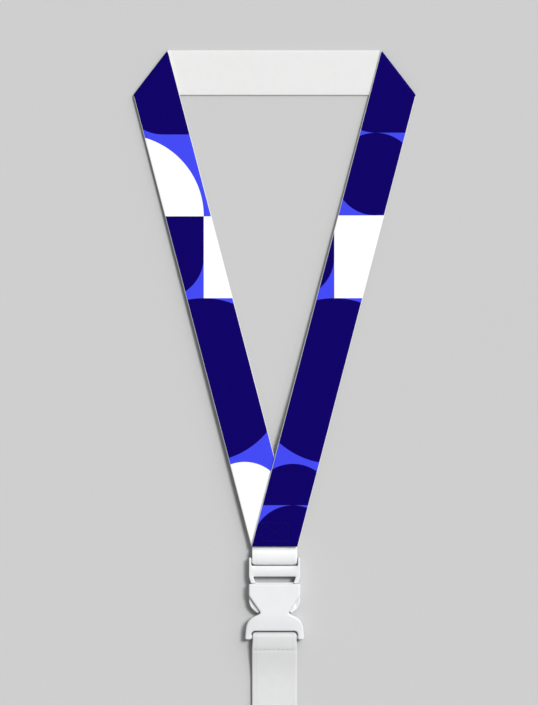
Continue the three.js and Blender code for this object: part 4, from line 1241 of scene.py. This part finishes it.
def fork_ears():
    """Two round-ended cheeks, one over and one under the gate's hub, let into the claw."""
    centre = PIVOT[:2] - (0, BARREL_Y)
    root = arc((0, CLAW_TOP), CLAW_RADIUS, math.pi - PIVOT_ANGLE - 0.62, math.pi - PIVOT_ANGLE - 0.5, 2)
    way = (root[0] - centre) / np.linalg.norm(root[0] - centre)
    side = np.array((-way[1], way[0]))
    angle = math.atan2(side[1], side[0])
    cheek = np.concatenate([arc(centre, 0.0022, angle, angle + math.pi, 16), [root[0] - side * 0.0017],
                            [root[0] + side * 0.0017]])
    ears = []
    for z in (-1, 1):
        ear = moulded("ear", cheek, EAR_THICKNESS, 0.0004)
        ears.append(moved(ear, 0, 0, z * (CLAW_HALF_DEEP - EAR_THICKNESS / 2)))
    return ears


def hook_casting():
    """The barrel turned from its profile, with its bore for the rivet, and the claw and the two ears
    let into each other below it."""
    barrel = eased([
        (BORE_RADIUS, 0), (BARREL_RADIUS, 0), (BARREL_RADIUS, -BARREL_LENGTH + 0.0015),
        (0.0029, -BARREL_LENGTH - 0.0004), (0.0001, -BARREL_LENGTH - 0.0004),
        (0.0001, -0.0043), (BORE_RADIUS, -0.0043),
    ], 0.0006)
    barrel_mesh = grid_mesh("barrel", turned_piece(barrel), closed=True)
    claw = grid_mesh("claw", claw_casting())
    return moved(one_mesh("hook_casting", [barrel_mesh, claw, *fork_ears()]), 0, BARREL_Y, BAR_HEIGHT)


hook = placed("hook_casting", hook_casting(), PLATED_METAL)
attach(hook, "hook")
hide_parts("hook_body")

# ---- gate ----
# The gate closes the claw from inside its nose. It is a plated casting with a bored hub, an arm, and a
# thumb tab with three grip ridges. The spring sits over the lower half of the hub.

GATE_HALF_DEEP = 0.0015
HUB_THICKNESS = 0.0016
HUB_BORE = 0.0011
WEB_START = 0.0016  # inside the hub's rim
ARM_HALF = 0.0013
NOSE_OVERLAP = 0.0026
TAB_LEAN = 0.15
TAB_LENGTH = 0.0075
TAB_HALF = 0.0012
NOSE_INNER_X = -0.0057
NOSE_SIDE = NOSE_INNER_X - PIVOT[0]  # from the pin to the nose's inner side
NOSE_DROP = PIVOT[1] - BARREL_Y - CLAW_LOW - 0.0015  # and down to the nose's end
ARM_LEAN = math.atan2(NOSE_SIDE, NOSE_DROP) + math.asin(ARM_HALF / math.hypot(NOSE_SIDE, NOSE_DROP))
ARM_REACH = (NOSE_DROP + NOSE_OVERLAP) / math.cos(ARM_LEAN)
CLEAR_OF_SPRING = 0.00285


def turned_by(mesh, angle):
    """Turns a mesh about the z axis."""
    cos, sin = math.cos(angle), math.sin(angle)
    return reshaped(mesh, lambda x, y, z: (x * cos - y * sin, x * sin + y * cos, z))


def bar_plate(name, start, end, half_width, low, high, rounding):
    """A round-ended bar down the y axis from start to end, between two heights."""
    outline = np.concatenate([
        arc((0, -end + half_width), half_width, math.pi, 2 * math.pi, 10),
        [(half_width, -start), (-half_width, -start)],
    ])
    return moved(moulded(name, outline, high - low, rounding, 0.0006), 0, 0, (low + high) / 2)


def gate_casting():
    """The hub is turned and laid on its side. The arm and the thumb tab are full thickness clear of
    the spring, and reach the hub on thin webs under it. Both are turned to their own angles."""
    low, high = -GATE_HALF_DEEP, GATE_HALF_DEEP
    hub_top = low + HUB_THICKNESS
    ring = eased([(HUB_BORE, low), (HUB_RADIUS, low), (HUB_RADIUS, hub_top), (HUB_BORE, hub_top)], 0.0002)
    hub = grid_mesh("hub", turned_piece(ring), closed=True)
    reshaped(hub, lambda x, y, z: (x, z, y))
    face_outwards(hub)
    web_low = low + 0.0001  # just inside the hub's and the arm's undersides
    web_end = CLEAR_OF_SPRING + 0.002
    arm_web = bar_plate("web", WEB_START, web_end, ARM_HALF * 0.96, web_low, hub_top, 0.0003)
    arm = bar_plate("arm", CLEAR_OF_SPRING, ARM_REACH, ARM_HALF, low, high, 0.0007)
    tab_web = bar_plate("tab_web", WEB_START, web_end, TAB_HALF * 0.96, web_low, hub_top, 0.0003)
    thumb = bar_plate("thumb", CLEAR_OF_SPRING, TAB_LENGTH, TAB_HALF, low, high, 0.0005)

    def ridged(x, y, z):
        """Narrows the tab in waves along its outer half."""
        ridges = np.clip(np.sin((y + TAB_LENGTH) / 0.0009 * 2 * math.pi), 0, 1)
        on_tip = np.clip((-y - 0.0042) / 0.0004, 0, 1) * np.clip((y + TAB_LENGTH - 0.0004) / 0.0004, 0, 1)
        return x * (1 - 0.14 * ridges * on_tip), y, z

    reshaped(thumb, ridged)
    parts = [hub]
    parts += [turned_by(piece, ARM_LEAN) for piece in (arm_web, arm)]
    parts += [turned_by(piece, -math.pi / 2 - TAB_LEAN) for piece in (tab_web, thumb)]
    return moved(one_mesh("gate_casting", parts), *PIVOT)


gate = placed("gate_casting", gate_casting(), PLATED_METAL)
keep_faces_flat(gate)
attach(gate, "gate")
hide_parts("gate_lever")

# ---- gate pin ----
# A short steel pin through both ears and the gate's hub, with its ends peened to low domes.

PIN_HALF = (PIN_HIGH[2] - PIN_LOW[2]) / 2


def pin_profile():
    """Radius and y: a low dome at each end of a straight shaft."""
    end = bezier((0.00001, -PIN_HALF), (0.0005, -PIN_HALF), (PIN_RADIUS, -PIN_HALF + 0.0001),
                 (PIN_RADIUS, -PIN_HALF + 0.0003), 8)
    return np.concatenate([end, (end * (1, -1))[::-1]])


pin_mesh = grid_mesh("pin", turned_piece(pin_profile(), sides=28))
reshaped(pin_mesh, lambda x, y, z: (x + PIVOT[0], z + PIVOT[1], y + PIVOT[2]))
face_outwards(pin_mesh)
pin = placed("pin", pin_mesh, PLATED_METAL)
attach(pin, "hook")
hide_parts("gate_pin")

# ---- gate spring ----
# A torsion spring of drawn steel wire round the pin, with a short straight leg at each end. It pushes
# the gate shut.

WIRE_RADIUS = 0.0002
COIL_RADIUS = 0.00175
COIL_TURNS = 2.25
COIL_PITCH = 0.00042
WIRE_LEG = 0.0017


def wire_points(steps=150, sides=10):
    """Rings of wire round a helix whose ends run on straight. The ring's first direction points away
    from the coil's axis, and its second is square to that and to the wire."""
    t = np.linspace(0, 1, steps)
    share = np.clip((t - 0.08) / 0.84, 0, 1)
    angle = 2 * math.pi * COIL_TURNS * share
    past = np.where(t < 0.08, t / 0.08 - 1, np.clip((t - 0.92) / 0.08, 0, 1)) * WIRE_LEG
    out = np.stack([np.cos(angle), np.sin(angle), 0 * angle], axis=-1)
    on = np.stack([-np.sin(angle), np.cos(angle), 0 * angle], axis=-1)
    rise = -GATE_HALF_DEEP + HUB_THICKNESS + 0.0002 + WIRE_RADIUS + COIL_PITCH * COIL_TURNS * share
    centre = COIL_RADIUS * out + on * past[:, None] + np.stack([0 * rise, 0 * rise, rise], axis=-1)
    turn = np.linspace(0, 2 * math.pi, sides + 1)[:-1][:, None]
    ring = out[:, None] * np.cos(turn) + np.array((0, 0, 1)) * np.sin(turn)
    return centre[:, None] + WIRE_RADIUS * ring + PIVOT


def spring_steel():
    """Drawn wire: long fine lines along it and a slight blue-grey tempering colour."""
    finish = Finish("spring_steel", Metallic=1.0)
    drawn = finish.noise(finish.stretched(finish.place(), (1, 1, 12)), 1500.0)
    temper = finish.noise(finish.place(), 500.0)
    colour = finish.mixed(temper, (0.42, 0.43, 0.46, 1), (0.52, 0.52, 0.53, 1))
    roughness = finish.spread(drawn, 0.3, 0.7, 0.25, 0.42)
    return finish.finished(colour, roughness, finish.relief(drawn, 0.000006))


coil = placed("coil", grid_mesh("coil", wire_points()), spring_steel())
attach(coil, "hook")
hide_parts("gate_spring")
